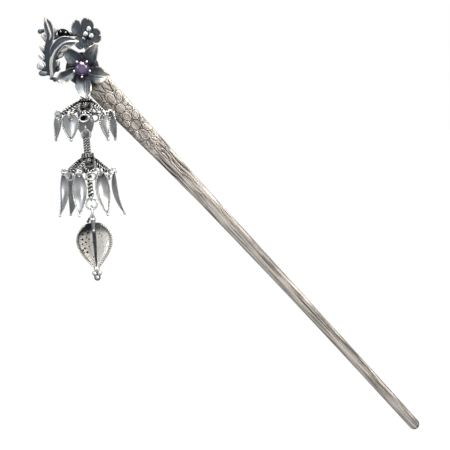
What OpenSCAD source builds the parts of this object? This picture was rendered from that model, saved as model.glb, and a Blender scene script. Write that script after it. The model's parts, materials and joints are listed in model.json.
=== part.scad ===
// Silver hair stick with a flowered head, a purple stone and a swinging string of drops.
// Millimetres. +Z is up, +X is to the right and -Y is towards the viewer.
// The origin is in the middle of the shank, where the hair holds it.

/* [Shank] */
// Length from the origin to the rounded tip
shank_tip = 94.8; // [80:0.1:110]
// Length from the origin back to the middle of the end plate
shank_head = 72.8; // [65:0.1:80]
// Angle between the shank and the vertical, in degrees
shank_lean = 38.5; // [35:0.1:43]
// Thickness of the bar
shank_thick = 2.4; // [2:0.1:3]
// How far the middle of the bar bows away from its chord
shank_bow = 0.6; // [0:0.05:1.5]
// Radius of the rounded plate behind the flower
plate_r = 6.9; // [6.5:0.1:8]
// Height of the raised flowers on the bar
relief_h = 0.18; // [0.1:0.02:0.3]

/* [Stone] */
// Diameter of the stone across its girdle
stone_d = 5; // [4.6:0.1:5.2]
// Diameter of the flat table
table_d = 2.9; // [2.4:0.1:3.2]
// Height of the girdle in front of the bar's middle plane
stone_front = 5.2; // [4.8:0.1:5.8]
// Radius of the five small balls that hold the stone
prong_ball_r = 0.46; // [0.4:0.01:0.5]

/* [Flowers] */
// Thickness of a petal
petal_thick = 0.6; // [0.5:0.05:0.8]
// Half width of a big petal at its widest
petal_half_w = 2.9; // [2.5:0.1:3.2]
// Length of a petal of the small flower
bloom_len = 5.9; // [5.4:0.1:6.2]
// Radius of the three granules in the small flower
granule_r = 1; // [0.8:0.05:1.1]

/* [Drops] */
// Distance of the string of drops in front of the bar's middle plane
string_front = 5.2; // [5:0.1:6]
// Height of the hanger's wire, where the upper drop swings
upper_hinge_z = 47.6; // [47:0.1:48]
// Height of the wire where the lower drop swings
lower_hinge_z = 34.6; // [34.2:0.1:35]
// Height of the ring's wire where the pendant swings
pendant_hinge_z = 8.7; // [8.4:0.1:9]
// Distance of the hearts from the middle of the string
heart_radius = 8.9; // [8.5:0.1:9.2]
// Distance of the long leaves from the middle of the string
leaf_radius = 8.3; // [8:0.1:8.6]
// Width of a heart
heart_w = 5.9; // [5.2:0.1:6.2]
// Length of a heart
heart_len = 8.7; // [8:0.1:9]
// Width of a long leaf
leaf_w = 4.9; // [4.6:0.1:5.3]
// Length of a long leaf
leaf_len = 14.3; // [13:0.1:15]
// Thickness of the sheet of hearts and leaves
sheet_thick = 0.6; // [0.5:0.05:0.7]
// Width of the leaf pendant
pendant_w = 11.4; // [10.5:0.1:12]
// Length of the leaf pendant's plates
pendant_len = 15.4; // [14.5:0.1:16]

/* [Hidden] */

silver = [0.66, 0.64, 0.61];
bright = [0.84, 0.83, 0.81];
dark = [0.32, 0.34, 0.37];
purple = [0.43, 0.25, 0.49];

// Distance of the bar's chord from the origin, across the bar
chord_shift = 0.78;

// Where the stone's middle is, right and up from the origin
stone_x = -45.9;
stone_z = 56.5;
// Small turn of the whole head in its own plane
head_turn = -0.9;
// Where the string of drops hangs, right of the origin
string_x = -46.3;
// Small gap between two wires that hook into each other
hook_gap = 0.1;

// Half width of the bar at stations along it, counted from the origin towards the tip
// [place, half width]
taper = [[-73, 4.6], [-57, 4.3], [-49, 3.8], [-28.6, 3.1], [-12, 2.6], [20, 2.25], [45, 2], [95, 1.85]];

// Raised flowers on the bar: [place, across, radius of the disc, length of a petal, turn]
daisies = [[-54.3, -0.4, 1.5, 2.9, 14], [-46.3, -0.3, 1.45, 2.6, 34]];

// Big petals: [angle, length, rise of the middle, lift of the tip, lift of the edges]
petals = [
    [50, 10, 0.9, 1.4, 1.3], [-18, 9.4, 1.2, 0.1, 0.9], [-85.5, 10, 3.2, 3, 0.9],
    [-156, 9.6, 1, 0.7, 1.2], [130, 9.6, 0.8, 0.1, 1.2]
];
petal_root = 1.6;
petal_base = 2.2;

// Small flower: its place from the stone, and [angle, length share, lift of the tip] of its petals
bloom_at = [2.4, 11.9, 1.9];
bloom_petals = [
    [97, 0.97, 1.1], [153, 1.03, 1.3], [216, 0.88, 0.6], [-84, 1, 0.5], [-27, 0.88, 0.9], [36, 0.68, 0.2]
];
granules = [[3.2, 13.2], [1.9, 11.6], [3.9, 10.8]];

// Scrolled leaves, from root to tip, from the stone: [right, up, front, half width]
scroll_a = [
    [-10.1, -3.6, 1, 0.9], [-11.1, -0.6, 1.3, 1.7], [-11.8, 3.2, 1.6, 1.6], [-11.3, 7.4, 1.9, 1.7],
    [-10.9, 11.2, 2.3, 2.2], [-10.9, 14.9, 2.9, 2.2], [-11.9, 18.1, 3.8, 0.3]
];
scroll_b = [
    [-9.5, -3.4, 1.6, 0.9], [-10.3, -0.4, 2.1, 1.2], [-10.2, 2.6, 2.7, 1.3], [-9.3, 6.2, 3.3, 1.7],
    [-6.8, 8.5, 3.8, 1.9], [-3.9, 9.8, 4, 2.1], [-0.2, 9.4, 3.8, 0.3]
];
// Rounded lobes beside the scrolled leaves: [right, up, front, radius, turn, stretch, foot length]
lobes = [
    [-13.7, 13.4, 2.2, 0.9, 175, 1, 1.8], [-12.8, 11, 1.9, 0.8, 110, 1.7, 1],
    [-8.5, 13.4, 2.4, 0.9, 80, 1.8, 1.4], [-13.4, 7.7, 1.9, 0.9, 120, 1.5, 1.4],
    [-13.9, 4.7, 1.8, 0.9, 135, 1.6, 1.6], [-13.8, 1.2, 1.9, 1.4, 140, 1.3, 1.6],
    [-12.9, -0.8, 1.5, 1.2, 190, 1.3, 1.4], [-5.2, 6.7, 3, 0.9, 25, 1.9, 1.6],
    [-7, 4.7, 2.7, 0.8, 30, 1.3, 1.3], [-8.1, 2, 2.2, 0.8, 60, 1.3, 0.9],
    [-8.1, -0.5, 1.9, 0.9, 20, 1.2, 1], [-2.9, 7.5, 2.8, 0.9, 20, 2, 1.2]
];

// Hearts: [way round from the front, lean outwards, turn on the ring]
hearts = [[-99, 8, 32], [-30, 4, 10], [45, 6, 14], [102, 4, 14], [183, 6, -12]];
// Long leaves: [way round from the front, lean outwards, turn on the ring]
long_leaves = [[-22, 0, 4], [30, 1, -6], [95, -2, 6], [156, 0, -6], [-138, -1, 4], [-86, 0, 28]];
upper_lobe_turn = 6;
lower_lobe_turn = 9;
// How far each crown leans in the plane of the pin, left side up
upper_crown_tilt = 4;
lower_crown_tilt = 3;
// How far the upper crown's middle stands to the right of the string, above its eyes
upper_crown_skew = 0.2;

// Crowns: [number of loops, turn of the first, outer end of a loop, its half width, its slope]
upper_loops = [5, upper_lobe_turn, 7.7, 2.3, 34];
lower_loops = [6, lower_lobe_turn, 7.2, 1.9, 38];
loop_wire_r = 0.5;
loop_inner = 1.7;
eye_wire_r = 0.33;
eye_r = 0.95;
eye_slope = 15;
stalk_root = 4.6;
stalk_r = 0.435;
// Discs that the cap over the middle of a crown runs through: [height from the apex, radius]
crown_cap = [[-2.1, 2.53], [-0.9, 2.13], [0.5, 1.5]];
// Plain ring under a loop: its place from the loop's outer end, and its half height and half width
face_ring_at = [0.27, 0, -1.5];
face_ring_size = [1.25, 1.6];
upper_eyes_down = 4.9;
lower_eyes_down = 5.3;
drop_hole_r = 0.6;
drop_hole_down = 0.75;
// How far the dished sheet is set back so that its hole meets the ring
hole_rise = 0.35;

// The hooking eyes and rings of the string: radius of the round, radius of the wire
hanger_eye = [0.8, 0.3];
crown_top_eye = [0.8, 0.3];
crown_low_eye = [1.25, 0.4];
rope_eye = [1.42, 0.42];
ring_size = [1.84, 0.4];
link_size = [1.8, 0.42];
stem_eye = [0.85, 0.28];
heart_ring_size = [1.3, 0.3];
leaf_ring_size = [1.05, 0.26];
// The pendant's bail is an oval: half height, half width, radius of the wire
bail_size = [1.3, 0.84, 0.3];

// General functions

function unit(v) = v / norm(v);

// Smooth curve through the rows of a table, at t from 0 at the first to 1 at the last
function through(rows, t) =
    let (
        last = len(rows) - 1,
        place = min(max(t, 0), 1) * last,
        i = min(floor(place), last - 1),
        f = place - i,
        p0 = rows[max(i - 1, 0)],
        p1 = rows[i],
        p2 = rows[i + 1],
        p3 = rows[min(i + 2, last)]
    )
    0.5 * (2 * p1 + (p2 - p0) * f + (2 * p0 - 5 * p1 + 4 * p2 - p3) * f * f
        + (3 * p1 - p0 - 3 * p2 + p3) * f * f * f);

// Round outline of a leaf: half width at u from 0 at its root to 1 at its tip
function leaf_half(u, blunt, p) = pow(sin(180 * pow(blunt + (1 - blunt) * min(u, 0.9999), p)), 0.85);

// Power that keeps its sign, for rounded boxes
function signed(x, p) = sign(x) * pow(abs(x), p);

// Places round an oval, as [place, direction square to the oval]
function oval(centre, along, across, a, b, count, normal) =
    [for (i = [0:count - 1])
        let (t = 360 * (i + 0.3) / count)
        [centre + a * cos(t) * along + b * sin(t) * across, normal]];

// General shapes

// Closed solid through rings of points, each ring turning right-handed about the way to the next
module loft(rings) {
    n = len(rings[0]);
    m = len(rings);
    sides = [for (i = [0:m - 2], j = [0:n - 1])
        let (a = i * n + j, b = i * n + (j + 1) % n)
        each [[a, a + n, b + n], [a, b + n, b]]];
    first = [for (j = [0:n / 2 - 2]) each [[j, j + 1, n - 2 - j], [j, n - 2 - j, n - 1 - j]]];
    back = (m - 1) * n;
    last = [for (f = first) [f[2] + back, f[1] + back, f[0] + back]];
    polyhedron([for (r = rings) each r], concat(sides, first, last));
}

// Closed solid through rings of points that come round to the first ring again
module loop(rings) {
    n = len(rings[0]);
    m = len(rings);
    polyhedron([for (r = rings) each r], [for (i = [0:m - 1], j = [0:n - 1])
        let (a = i * n + j, b = i * n + (j + 1) % n, c = (i + 1) % m * n)
        each [[a, c + j, c + (j + 1) % n], [a, c + (j + 1) % n, b]]]);
}

// Round rings of points along a wire of [place, side direction] rows
function wire_rings(wire, radii, sides, closed) =
    let (m = len(wire))
    [for (i = [0:m - 1])
        let (
            before = closed ? wire[(i + m - 1) % m][0] : wire[max(i - 1, 0)][0],
            after = closed ? wire[(i + 1) % m][0] : wire[min(i + 1, m - 1)][0],
            t = unit(after - before),
            side = wire[i][1],
            a = unit(side - (side * t) * t),
            b = cross(t, a),
            r = is_list(radii) ? radii[i] : radii
        )
        [for (j = [0:sides - 1]) wire[i][0] + r * (cos(360 * j / sides) * a + sin(360 * j / sides) * b)]];

// Thin blade over a shape function of u from root to tip and v from one edge to the other
module blade(shape, thick, nu, nv) {
    loft([for (i = [0:nu])
        let (u = i / nu)
        concat(
            [for (j = [0:nv]) shape(u, 1 - 2 * j / nv) + [0, 0, thick / 2]],
            [for (j = [nv:-1:0]) shape(u, 1 - 2 * j / nv) - [0, 0, thick / 2]]
        )]);
}

// Plain wire ring: flat in the plane across the given turn
module wire_ring(size) {
    rotate_extrude($fn = 48) translate([size[0], 0]) circle(size[1], $fn = 24);
}

// The same ring as a low mesh, for rings that are soldered to other wires
module soldered_ring(size, count, sides) {
    path = oval([0, 0, 0], [1, 0, 0], [0, 1, 0], size[0], size[0], count, [0, 0, 1]);
    loop(wire_rings(path, size[1], sides, true));
}

module ball(r, n) {
    sphere(r, $fn = n);
}

// Frames: a face frame has x to the right, y up and z towards the viewer

module face_frame() {
    rotate([90, 0, 0]) children();
}

module stone_frame() {
    face_frame() translate([stone_x, stone_z, 0]) rotate([0, 0, head_turn]) children();
}

module shank_frame() {
    face_frame() rotate([0, 0, shank_lean - 90]) children();
}

// A place on the string of drops, turned so that x looks outwards at the given way round
module string_frame(z, way) {
    translate([string_x, -string_front, z]) rotate([0, 0, way - 90]) children();
}

// The same for a crown that leans, with its left side up
module tilted(z, tilt) {
    translate([string_x, -string_front, z]) rotate([0, tilt, 0]) rotate([0, 0, -90]) children();
}

// Leans what stands above the given depth, so that its middle moves sideways and its foot doesn't
module skewed(skew, down) {
    multmatrix([[1, 0, 0, 0], [0, 1, skew, skew * down], [0, 0, 1, 0]]) children();
}

// Shank

function bow_at(s) =
    let (middle = (shank_tip - shank_head) / 2, half = (shank_tip + shank_head) / 2, f = (s - middle) / half)
    shank_bow * (1 - f * f) - chord_shift;

function shank_half(s) =
    let (
        d = s + shank_head,
        plate = sqrt(max(plate_r * plate_r - d * d, 0)),
        bar = lookup(s, taper) * min(max((d + plate_r) / 6, 0), 1),
        end_r = 1.85,
        e = min(max((s - shank_tip + end_r) / end_r, 0), 0.97)
    )
    max(plate, bar, 0.5) * sqrt(1 - e * e);

function shank_ring(s, sides) =
    let (w = shank_half(s), h = shank_thick / 2 * (0.45 + 0.55 * min(w / 1.6, 1)), shift = bow_at(s))
    [for (j = [0:sides - 1])
        let (t = 360 * j / sides)
        [s, shift + w * signed(cos(t), 0.8), h * signed(sin(t), 0.7)]];

module shank() {
    stations = concat(
        [for (d = [-7.35, -7, -6, -4, 0, 2.5, 4.6, 6, 8]) d - shank_head],
        [for (s = [-60:12:84]) s],
        [for (d = [1.85, 1.2, 0.5, 0]) shank_tip - d]
    );
    shank_frame() loft([for (s = stations) shank_ring(s, 12)]);
}

// Low mound on the bar's face, with a flat top
module mound(length, half, height) {
    outline = [for (j = [0:5]) let (t = 60 * j) [length / 2 * cos(t), half * sin(t) / sin(60)]];
    top = shank_thick / 2;
    loft([
        [for (p = outline) [p[0], p[1], top - 0.5]],
        [for (p = outline) [0.72 * p[0], 0.72 * p[1], top + height]]
    ]);
}

module relief() {
    shank_frame() for (d = daisies) translate([d[0], d[1] + bow_at(d[0]), -0.1]) rotate([0, 0, d[4]]) {
        mound(2 * d[2], d[2], relief_h * 1.3);
        for (i = [0:7]) rotate([0, 0, 45 * i]) translate([d[2] + d[3] / 2 - 0.15, 0, 0])
            mound(d[3], 0.85, relief_h * (abs(sin(45 * i + d[4])) > 0.9 ? 0.6 : 1));
    }
}

// Big flower

module big_petal(length, rise, tip, edge) {
    blade(function (u, v)
        let (
            half = petal_half_w * leaf_half(u, 0.12, 0.95) + 0.12,
            wave = 0.22 * sin(540 * u + 40) * v * v
        )
        [
            petal_root + (length - petal_root) * u,
            half * v,
            petal_base + rise * sin(140 * u) + tip * u * u + edge * v * v * sin(150 * u) + wave
        ], petal_thick, 6, 4);
}

module big_flower() {
    stone_frame() {
        for (p = petals) rotate([0, 0, p[0]]) big_petal(p[1], p[2], p[3], p[4]);
        translate([0, 0, 0.8]) cylinder(r1 = 3, r2 = 2.1, h = 2.2, $fn = 8);
    }
}

// Small flower with a notch in each petal

module bloom_petal(share, tip) {
    blade(function (u, v)
        let (
            notch = 0.9 * pow(max(1 - abs(v) * 1.9, 0), 1.5),
            round_end = 1.1 * v * v,
            half = 0.5 + 2.3 * pow(sin(90 * min(u * 1.25, 1)), 1.2)
        )
        [
            0.4 + (share * bloom_len - 0.4 - (notch + round_end) * u) * u,
            half * v,
            0.5 * v * v * u + tip * u * u + 0.25 * sin(360 * v) * u
        ], petal_thick, 3, 6);
}

module bloom() {
    stone_frame() {
        translate(bloom_at) {
            for (p = bloom_petals) rotate([0, 0, p[0]]) bloom_petal(p[1], p[2]);
        }
        for (g = granules) translate([g[0], g[1], bloom_at[2] + 1.1]) ball(granule_r, 10);
        translate([2.9, 11.9, 0.9]) cylinder(r1 = 1.7, r2 = 1.4, h = bloom_at[2], $fn = 9);
    }
}

// Scrolled leaves, ribbed along their length, with rounded lobes

module scroll(rows, count) {
    loft([for (i = [0:count])
        let (
            t = i / count,
            p = through(rows, t),
            q = through(rows, min(t + 0.02, 1)) - through(rows, max(t - 0.02, 0)),
            along = unit([q[0], q[1], 0]),
            side = [-along[1], along[0], 0],
            w = p[3],
            centre = [p[0], p[1], p[2]]
        )
        concat(
            [for (v = [1, 0.5, 0, -0.5, -1])
                centre + side * w * v + [0, 0, 0.35 + 0.35 * w * (v == 0 ? 0.6 : abs(v) < 0.8 ? 0 : 0.45)]],
            [for (v = [-1, -0.5, 0, 0.5, 1]) centre + side * w * v - [0, 0, 0.4 + 0.2 * w * (1 - v * v)]]
        )]);
}

module lobe(p) {
    hull() {
        translate([p[0], p[1], p[2]]) rotate([0, 0, p[4]]) {
            scale([p[5], 1, 0.8]) ball(p[3], 6);
            translate([-p[6] - p[3] * p[5] * 0.5, 0, -0.3]) ball(0.45, 5);
        }
    }
}

module scroll_leaves() {
    stone_frame() {
        scroll(scroll_a, 10);
        scroll(scroll_b, 11);
        for (p = lobes) lobe(p);
    }
}

// Dome with two dots, behind the scrolled leaf
module dome() {
    stone_frame() translate([-5.6, 12.2, 1.5]) {
        rotate([0, 0, -25]) scale([1.25, 0.95, 0.8]) ball(1.75, 8);
        for (dot = [[-0.9, 0.8], [0.75, 0.4]]) translate([dot[0], dot[1], 1]) ball(0.3, 5);
    }
}

// Branches behind the flowers that carry the upper pieces: [from, to]
module branches() {
    ways = [
        [[2.6, 3, 0.2], [3.6, 11.4, 0.9]],
        [[2.2, 11.6, 0.9], [-5.6, 12, 0.9]],
        [[-5.6, 12, 0.9], [-10.4, 10.6, 1.4]],
        [[-5, -2.5, 0], [-9.6, -3.2, 1.2]]
    ];
    stone_frame() for (w = ways) hull() {
        translate(w[0]) ball(0.75, 6);
        translate(w[1]) ball(0.7, 6);
    }
}

// Setting: a cup and five prongs, each with a ball at its end
module setting() {
    prong_r = stone_d / 2 + prong_ball_r - 0.15;
    stone_frame() {
        for (i = [0:4]) rotate([0, 0, 51 + 72 * i]) {
            hull() {
                translate([1.6, 0, 2.7]) ball(0.32, 5);
                translate([prong_r + 0.14, 0, stone_front + 0.15]) ball(0.27, 5);
            }
            translate([prong_r, 0, stone_front + 0.56]) ball(prong_ball_r, 6);
        }
    }
}

// Hanger: an eye under the bottom petal, with its wire running front to back at its lowest point
module hanger() {
    string_frame(upper_hinge_z + hanger_eye[0], 90) rotate([90, 0, 90]) soldered_ring(hanger_eye, 10, 5);
    hull() {
        string_frame(upper_hinge_z + 2 * hanger_eye[0] + 0.1, 90) ball(0.4, 6);
        stone_frame() translate([0, -6.9, 6.1]) ball(0.4, 6);
    }
}

module pin() {
    color(silver) shank();
    color(silver) relief();
    color(dark) big_flower();
    color(dark) bloom();
    color(bright) scroll_leaves();
    color(dark) dome();
    color(dark) branches();
    color(bright) setting();
    color(silver) hanger();
}

module amethyst() {
    color(purple) stone_frame() translate([0, 0, stone_front]) hull() {
        translate([0, 0, 0.85]) cylinder(d = table_d, h = 0.05, $fn = 8);
        rotate([0, 0, 11.25]) translate([0, 0, -0.08]) cylinder(d = stone_d, h = 0.16, $fn = 16);
        translate([0, 0, -1.7]) cylinder(d = 0.3, h = 0.1, $fn = 8);
    }
}

// Crowns: oval loops of wire on a cone, with plain rings and small eyes

// One oval loop, from near the middle outwards and down to its outer end
module oval_loop(loops) {
    along = [cos(loops[4]), 0, -sin(loops[4])];
    across = [0, 1, 0];
    middle = (loop_inner + loops[2]) / 2 / cos(loops[4]);
    reach = (loops[2] - loop_inner) / 2 / cos(loops[4]);
    loop(wire_rings(oval(middle * along, along, across, reach, loops[3], 10, cross(along, across)),
        loop_wire_r, 5, true));
}

// Plain ring under the outer end of a loop, facing outwards
module face_ring(loops) {
    end = [loops[2], 0, -loops[2] * tan(loops[4])];
    centre = end + face_ring_at;
    path = oval(centre, [0.1, 0, -1], [0, 1, 0], face_ring_size[0], face_ring_size[1], 8, [1, 0, 0.1]);
    loop(wire_rings(path, eye_wire_r, 4, true));
}

// Eye on a short stalk from where two loops meet, which a jump ring hooks into
module stalk_eye(radius, down, slope) {
    eye_back = [-2 * eye_r - 0.3, 0, 0.04];
    translate([radius, 0, -down]) rotate([0, eye_slope, 0]) translate([-eye_r, 0, 0])
        soldered_ring([eye_r, eye_wire_r], 8, 4);
    hull() {
        translate([radius, 0, -down]) rotate([0, eye_slope, 0]) translate(eye_back) rotate([0, 90, 0])
            cylinder(r = stalk_r, h = 0.45, $fn = 5);
        translate([stalk_root, 0, -stalk_root * tan(slope)]) rotate([0, 90, 0])
            cylinder(r = 2 * stalk_r, h = 0.9, $fn = 5);
    }
}

module crown_wires(loops, drops, radius, down) {
    for (i = [0:loops[0] - 1]) rotate([0, 0, loops[1] + 360 / loops[0] * i]) {
        oval_loop(loops);
        face_ring(loops);
    }
    for (d = drops) rotate([0, 0, d[0]]) stalk_eye(radius, down, loops[4]);
    hull() for (disc = crown_cap) translate([0, 0, disc[0]]) cylinder(r = disc[1], h = 0.05, $fn = 10);
}

upper_apex = upper_hinge_z + hanger_eye[1] + crown_top_eye[1] + hook_gap - 2 * crown_top_eye[0] - 0.3;

module upper_crown() {
    color(silver) {
        tilted(upper_apex, upper_crown_tilt)
            skewed(upper_crown_skew, upper_eyes_down)
                crown_wires(upper_loops, hearts, heart_radius, upper_eyes_down);
        string_frame(upper_apex + 0.3 + crown_top_eye[0], 90) rotate([90, 0, 0])
            soldered_ring(crown_top_eye, 10, 5);
        low_top = lower_hinge_z + 2 * crown_low_eye[0];
        string_frame(low_top - 0.2, 0) cylinder(r = 0.5, h = upper_apex - low_top, $fn = 8);
        string_frame(lower_hinge_z + crown_low_eye[0], 90) rotate([90, 0, 90])
            soldered_ring(crown_low_eye, 10, 5);
    }
}

// Heights on the lower drop, from its eye down
rope_eye_z = lower_hinge_z + crown_low_eye[1] + rope_eye[1] + hook_gap - rope_eye[0];
lower_apex = rope_eye_z - 6.9;
ring_z = pendant_hinge_z + ring_size[0];
// Eye under the lower stem, which the jump ring hooks into
stem_eye_z = ring_z + ring_size[0] + stem_eye[0] - stem_eye[1] - ring_size[1] - hook_gap;
stem_foot = stem_eye_z + stem_eye[0];

// Rope of two strands that turn about the string's line, from radius r0 at its foot to r1 at its top
module rope(foot, top, r0, r1, turn_len) {
    steps = ceil((top - foot) / turn_len * 6);
    loft([for (i = [0:steps])
        let (t = i / steps, turn = -360 * (top - foot) * t / turn_len, r = r0 + (r1 - r0) * t)
        [for (j = [0:5])
            let (a = 60 * j, w = r * (j % 3 == 0 ? 1 : 0.8))
            [w * cos(a + turn), w * sin(a + turn), foot + (top - foot) * t]]]);
}

module lower_crown() {
    color(silver) {
        string_frame(rope_eye_z, 90) rotate([90, 0, 0]) soldered_ring(rope_eye, 12, 5);
        string_frame(0, 0) {
            rope(lower_apex - 0.4, rope_eye_z - rope_eye[0] + 0.4, 1.75, 1.7, 2.9);
            rope(stem_foot - 0.15, lower_apex - 1, 1.15, 0.65, 2.4);
        }
        string_frame(stem_eye_z, 90) rotate([90, 0, 90]) soldered_ring(stem_eye, 8, 5);
        tilted(lower_apex, lower_crown_tilt)
            crown_wires(lower_loops, long_leaves, leaf_radius, lower_eyes_down);
    }
}

// Drops

// A hanging set: [apex of its crown, lean of the crown, distance out, jump ring size, fall of the eyes]
upper_set = [upper_apex, upper_crown_tilt, heart_radius, heart_ring_size, upper_eyes_down];
lower_set = [lower_apex, lower_crown_tilt, leaf_radius, leaf_ring_size, lower_eyes_down];

// Height of the eye's wire that a drop at the given way round hangs from
function eye_wire_z(set, way) =
    set[0] - set[4] - set[2] * sin(way) * sin(set[1]);

// Height of the jump ring's middle there
function drop_ring_z(set, way) = eye_wire_z(set, way) - set[3][0] + set[3][1] + eye_wire_r + hook_gap;

module drop_ring(set, way) {
    color(silver) string_frame(drop_ring_z(set, way), way) translate([set[2], 0, 0]) rotate([90, 0, 0])
        wire_ring(set[3]);
}

// A dished drop hanging from its hole; its face looks outwards and its tip curves out
module dished_drop(width, length, blunt, power, notch, dish, curl) {
    difference() {
        blade(function (u, v)
            let (half = width / 2 * leaf_half(u, blunt, power) + 0.12, w = abs(v))
            [
                length * u - drop_hole_down - notch * (1 - pow(1 - u, 3) * (1 - 4 * (1 - w) * w)),
                half * v,
                hole_rise - dish * (1 - v * v) * sin(180 * pow(u, 0.7)) + curl * pow(u, 3)
            ], sheet_thick, 6, 4);
        translate([0, 0, -3]) cylinder(r = drop_hole_r, h = 6, $fn = 32);
    }
    translate([length - drop_hole_down - notch, 0, curl + hole_rise]) ball(0.5, 24);
}

module hang_drop(set, place) {
    string_frame(drop_ring_z(set, place[0]) - set[3][0], place[0]) translate([set[2], 0, 0])
        rotate([0, 0, place[2]]) rotate([0, 90 - place[1], 0]) children();
}

module heart(i) {
    color(bright) hang_drop(upper_set, hearts[i - 1])
        dished_drop(heart_w, heart_len, 0.12, 0.78, 0.5, 0.75, 0.3);
}

module heart_ring(i) {
    drop_ring(upper_set, hearts[i - 1][0]);
}

module long_leaf(i) {
    color(bright) hang_drop(lower_set, long_leaves[i - 1])
        dished_drop(leaf_w, leaf_len, 0.05, 0.82, 0, 1.1, 2.8);
}

module leaf_ring(i) {
    drop_ring(lower_set, long_leaves[i - 1][0]);
}

module jump_ring() {
    color(bright) string_frame(ring_z, 0) rotate([90, 0, 90]) wire_ring(ring_size);
}

// Height of the small link's middle, and of the pendant's bail
link_z = pendant_hinge_z + ring_size[1] + link_size[1] + hook_gap - link_size[0];
bail_z = link_z - link_size[0] + link_size[1] + bail_size[2] + hook_gap - bail_size[0];
pendant_top = bail_z - bail_size[0] - 0.1;

module small_link() {
    color(bright) string_frame(link_z, 0) rotate([90, 0, 0]) wire_ring(link_size);
}

module leaf_pendant() {
    fold = 2.6;
    // Granules under the plates and beside the bail: [out, across, up, radius]
    end_granules = [
        [0.2, 0, -0.5, 1.1], [0.2, 0.9, -1.9, 0.85], [0.2, -0.9, -1.9, 0.85], [0.2, 0, -3.3, 1.05],
        [-0.9, 0, -1.7, 0.8]
    ];
    side_granules = [[-0.4, -1.5, 0], [-0.4, -2, 0.8], [-0.4, -1.2, 0.9]];
    bail = oval([0, 0, 0], [0, 0, 1], [1, 0, 0], bail_size[0], bail_size[1], 10, [0, 1, 0]);
    color(bright) {
        string_frame(bail_z, 90) loop(wire_rings(bail, bail_size[2], 5, true));
        string_frame(pendant_top, 0) {
            rotate([0, 90, 0]) blade(function (u, v)
                let (
                    w = abs(v),
                    half = pendant_w / 2 * leaf_half(u, 0.06, 0.78) + 0.3,
                    depth = fold * leaf_half(u, 0.1, 0.78)
                )
                [
                    pendant_len * u + 0.6 * w * w * pow(1 - u, 2),
                    half * sin(90 * w) * sign(v),
                    depth * (w * w - 0.5) + 0.35 * pow(w, 8) + 0.2
                ], 0.9, 10, 8);
            translate([0.3, 0, -4]) cylinder(r = 0.62, h = 4.4, $fn = 8);
            for (g = end_granules) hull() {
                translate([g[0], g[1], g[2] - pendant_len]) ball(g[3], 8);
                translate([0, g[1] * 0.3, g[2] + 0.7 - pendant_len]) ball(g[3] / 2, 5);
            }
            for (g = side_granules) hull() {
                translate(g) ball(0.5, 6);
                translate([-0.4, -0.6, 0]) ball(0.3, 5);
            }
        }
    }
}

pin();
amethyst();
upper_crown();
lower_crown();
jump_ring();
small_link();
leaf_pendant();
for (i = [1:5]) heart(i);
for (i = [1:5]) heart_ring(i);
for (i = [1:6]) long_leaf(i);
for (i = [1:6]) leaf_ring(i);
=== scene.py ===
"""Silver hair stick with a flowered head, a purple stone and a swinging string of drops.

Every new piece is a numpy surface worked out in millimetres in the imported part's own frame: +X to the
right, -Y towards the viewer, +Z up, with the origin in the middle of the shank. The mesh is then stored
in metres at its place, so each object sits at the origin, unturned and unscaled.
"""

from __future__ import annotations

import json
import logging
import math
from dataclasses import dataclass
from enum import Enum
from typing import Callable, Sequence

import bpy
import numpy as np
from mathutils import Matrix, Vector

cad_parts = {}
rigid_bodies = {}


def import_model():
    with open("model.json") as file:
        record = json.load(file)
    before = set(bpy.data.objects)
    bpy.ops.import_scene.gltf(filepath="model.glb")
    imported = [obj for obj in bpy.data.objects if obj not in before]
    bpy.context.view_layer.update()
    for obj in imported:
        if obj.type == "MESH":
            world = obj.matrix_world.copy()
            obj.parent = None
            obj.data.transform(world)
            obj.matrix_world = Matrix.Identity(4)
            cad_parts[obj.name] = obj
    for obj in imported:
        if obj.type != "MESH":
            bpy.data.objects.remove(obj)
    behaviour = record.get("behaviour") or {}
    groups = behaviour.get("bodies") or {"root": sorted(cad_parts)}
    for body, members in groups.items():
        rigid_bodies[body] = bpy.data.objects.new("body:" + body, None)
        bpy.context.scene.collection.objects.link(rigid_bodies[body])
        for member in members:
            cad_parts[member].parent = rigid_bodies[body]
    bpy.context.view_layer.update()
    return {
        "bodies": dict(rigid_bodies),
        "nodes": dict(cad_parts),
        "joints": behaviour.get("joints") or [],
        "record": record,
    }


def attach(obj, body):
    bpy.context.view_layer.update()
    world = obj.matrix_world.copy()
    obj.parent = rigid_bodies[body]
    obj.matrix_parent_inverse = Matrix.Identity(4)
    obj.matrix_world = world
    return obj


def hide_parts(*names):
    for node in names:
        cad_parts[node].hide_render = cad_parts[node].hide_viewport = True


LOG = logging.getLogger("hair_stick")

MM = 0.001

Array = np.ndarray
Material = bpy.types.Material


class Body(str, Enum):
    """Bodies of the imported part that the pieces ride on."""

    PIN = "pin"
    UPPER = "upper_drop"
    LOWER = "lower_drop"
    PENDANT = "pendant_drop"


class Slot(str, Enum):
    """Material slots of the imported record."""

    SILVER = "silver"
    BRIGHT = "bright_silver"
    STONE = "amethyst"


# Numbers and curves


def unit(v: Array) -> Array:
    """Vectors along the last axis, made one long."""
    return v / np.maximum(np.linalg.norm(v, axis=-1, keepdims=True), 1e-12)


def ease(low: float, high: float, x: Array) -> Array:
    """Smooth step from 0 at low to 1 at high: 3t squared less 2t cubed."""
    t = np.clip((x - low) / (high - low), 0, 1)
    return t * t * (3 - 2 * t)


def signed(x: Array, power: float) -> Array:
    """Power of the size of x that keeps the sign of x."""
    return np.sign(x) * np.abs(x) ** power


def sine(degrees: Array) -> Array:
    """Sine of an angle in degrees."""
    return np.sin(np.radians(degrees))


def wave(x: Array, period: float, phase: float | Array = 0.0) -> Array:
    """Sine that makes a whole turn for each period, from a phase in radians."""
    return np.sin(2 * np.pi * x / period + phase)


def stripe(turns: Array, power: float) -> Array:
    """Stripes, one for each turn: half of one plus the cosine of the turns, to a power that sharpens it."""
    return (0.5 + 0.5 * np.cos(2 * np.pi * turns)) ** power


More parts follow.
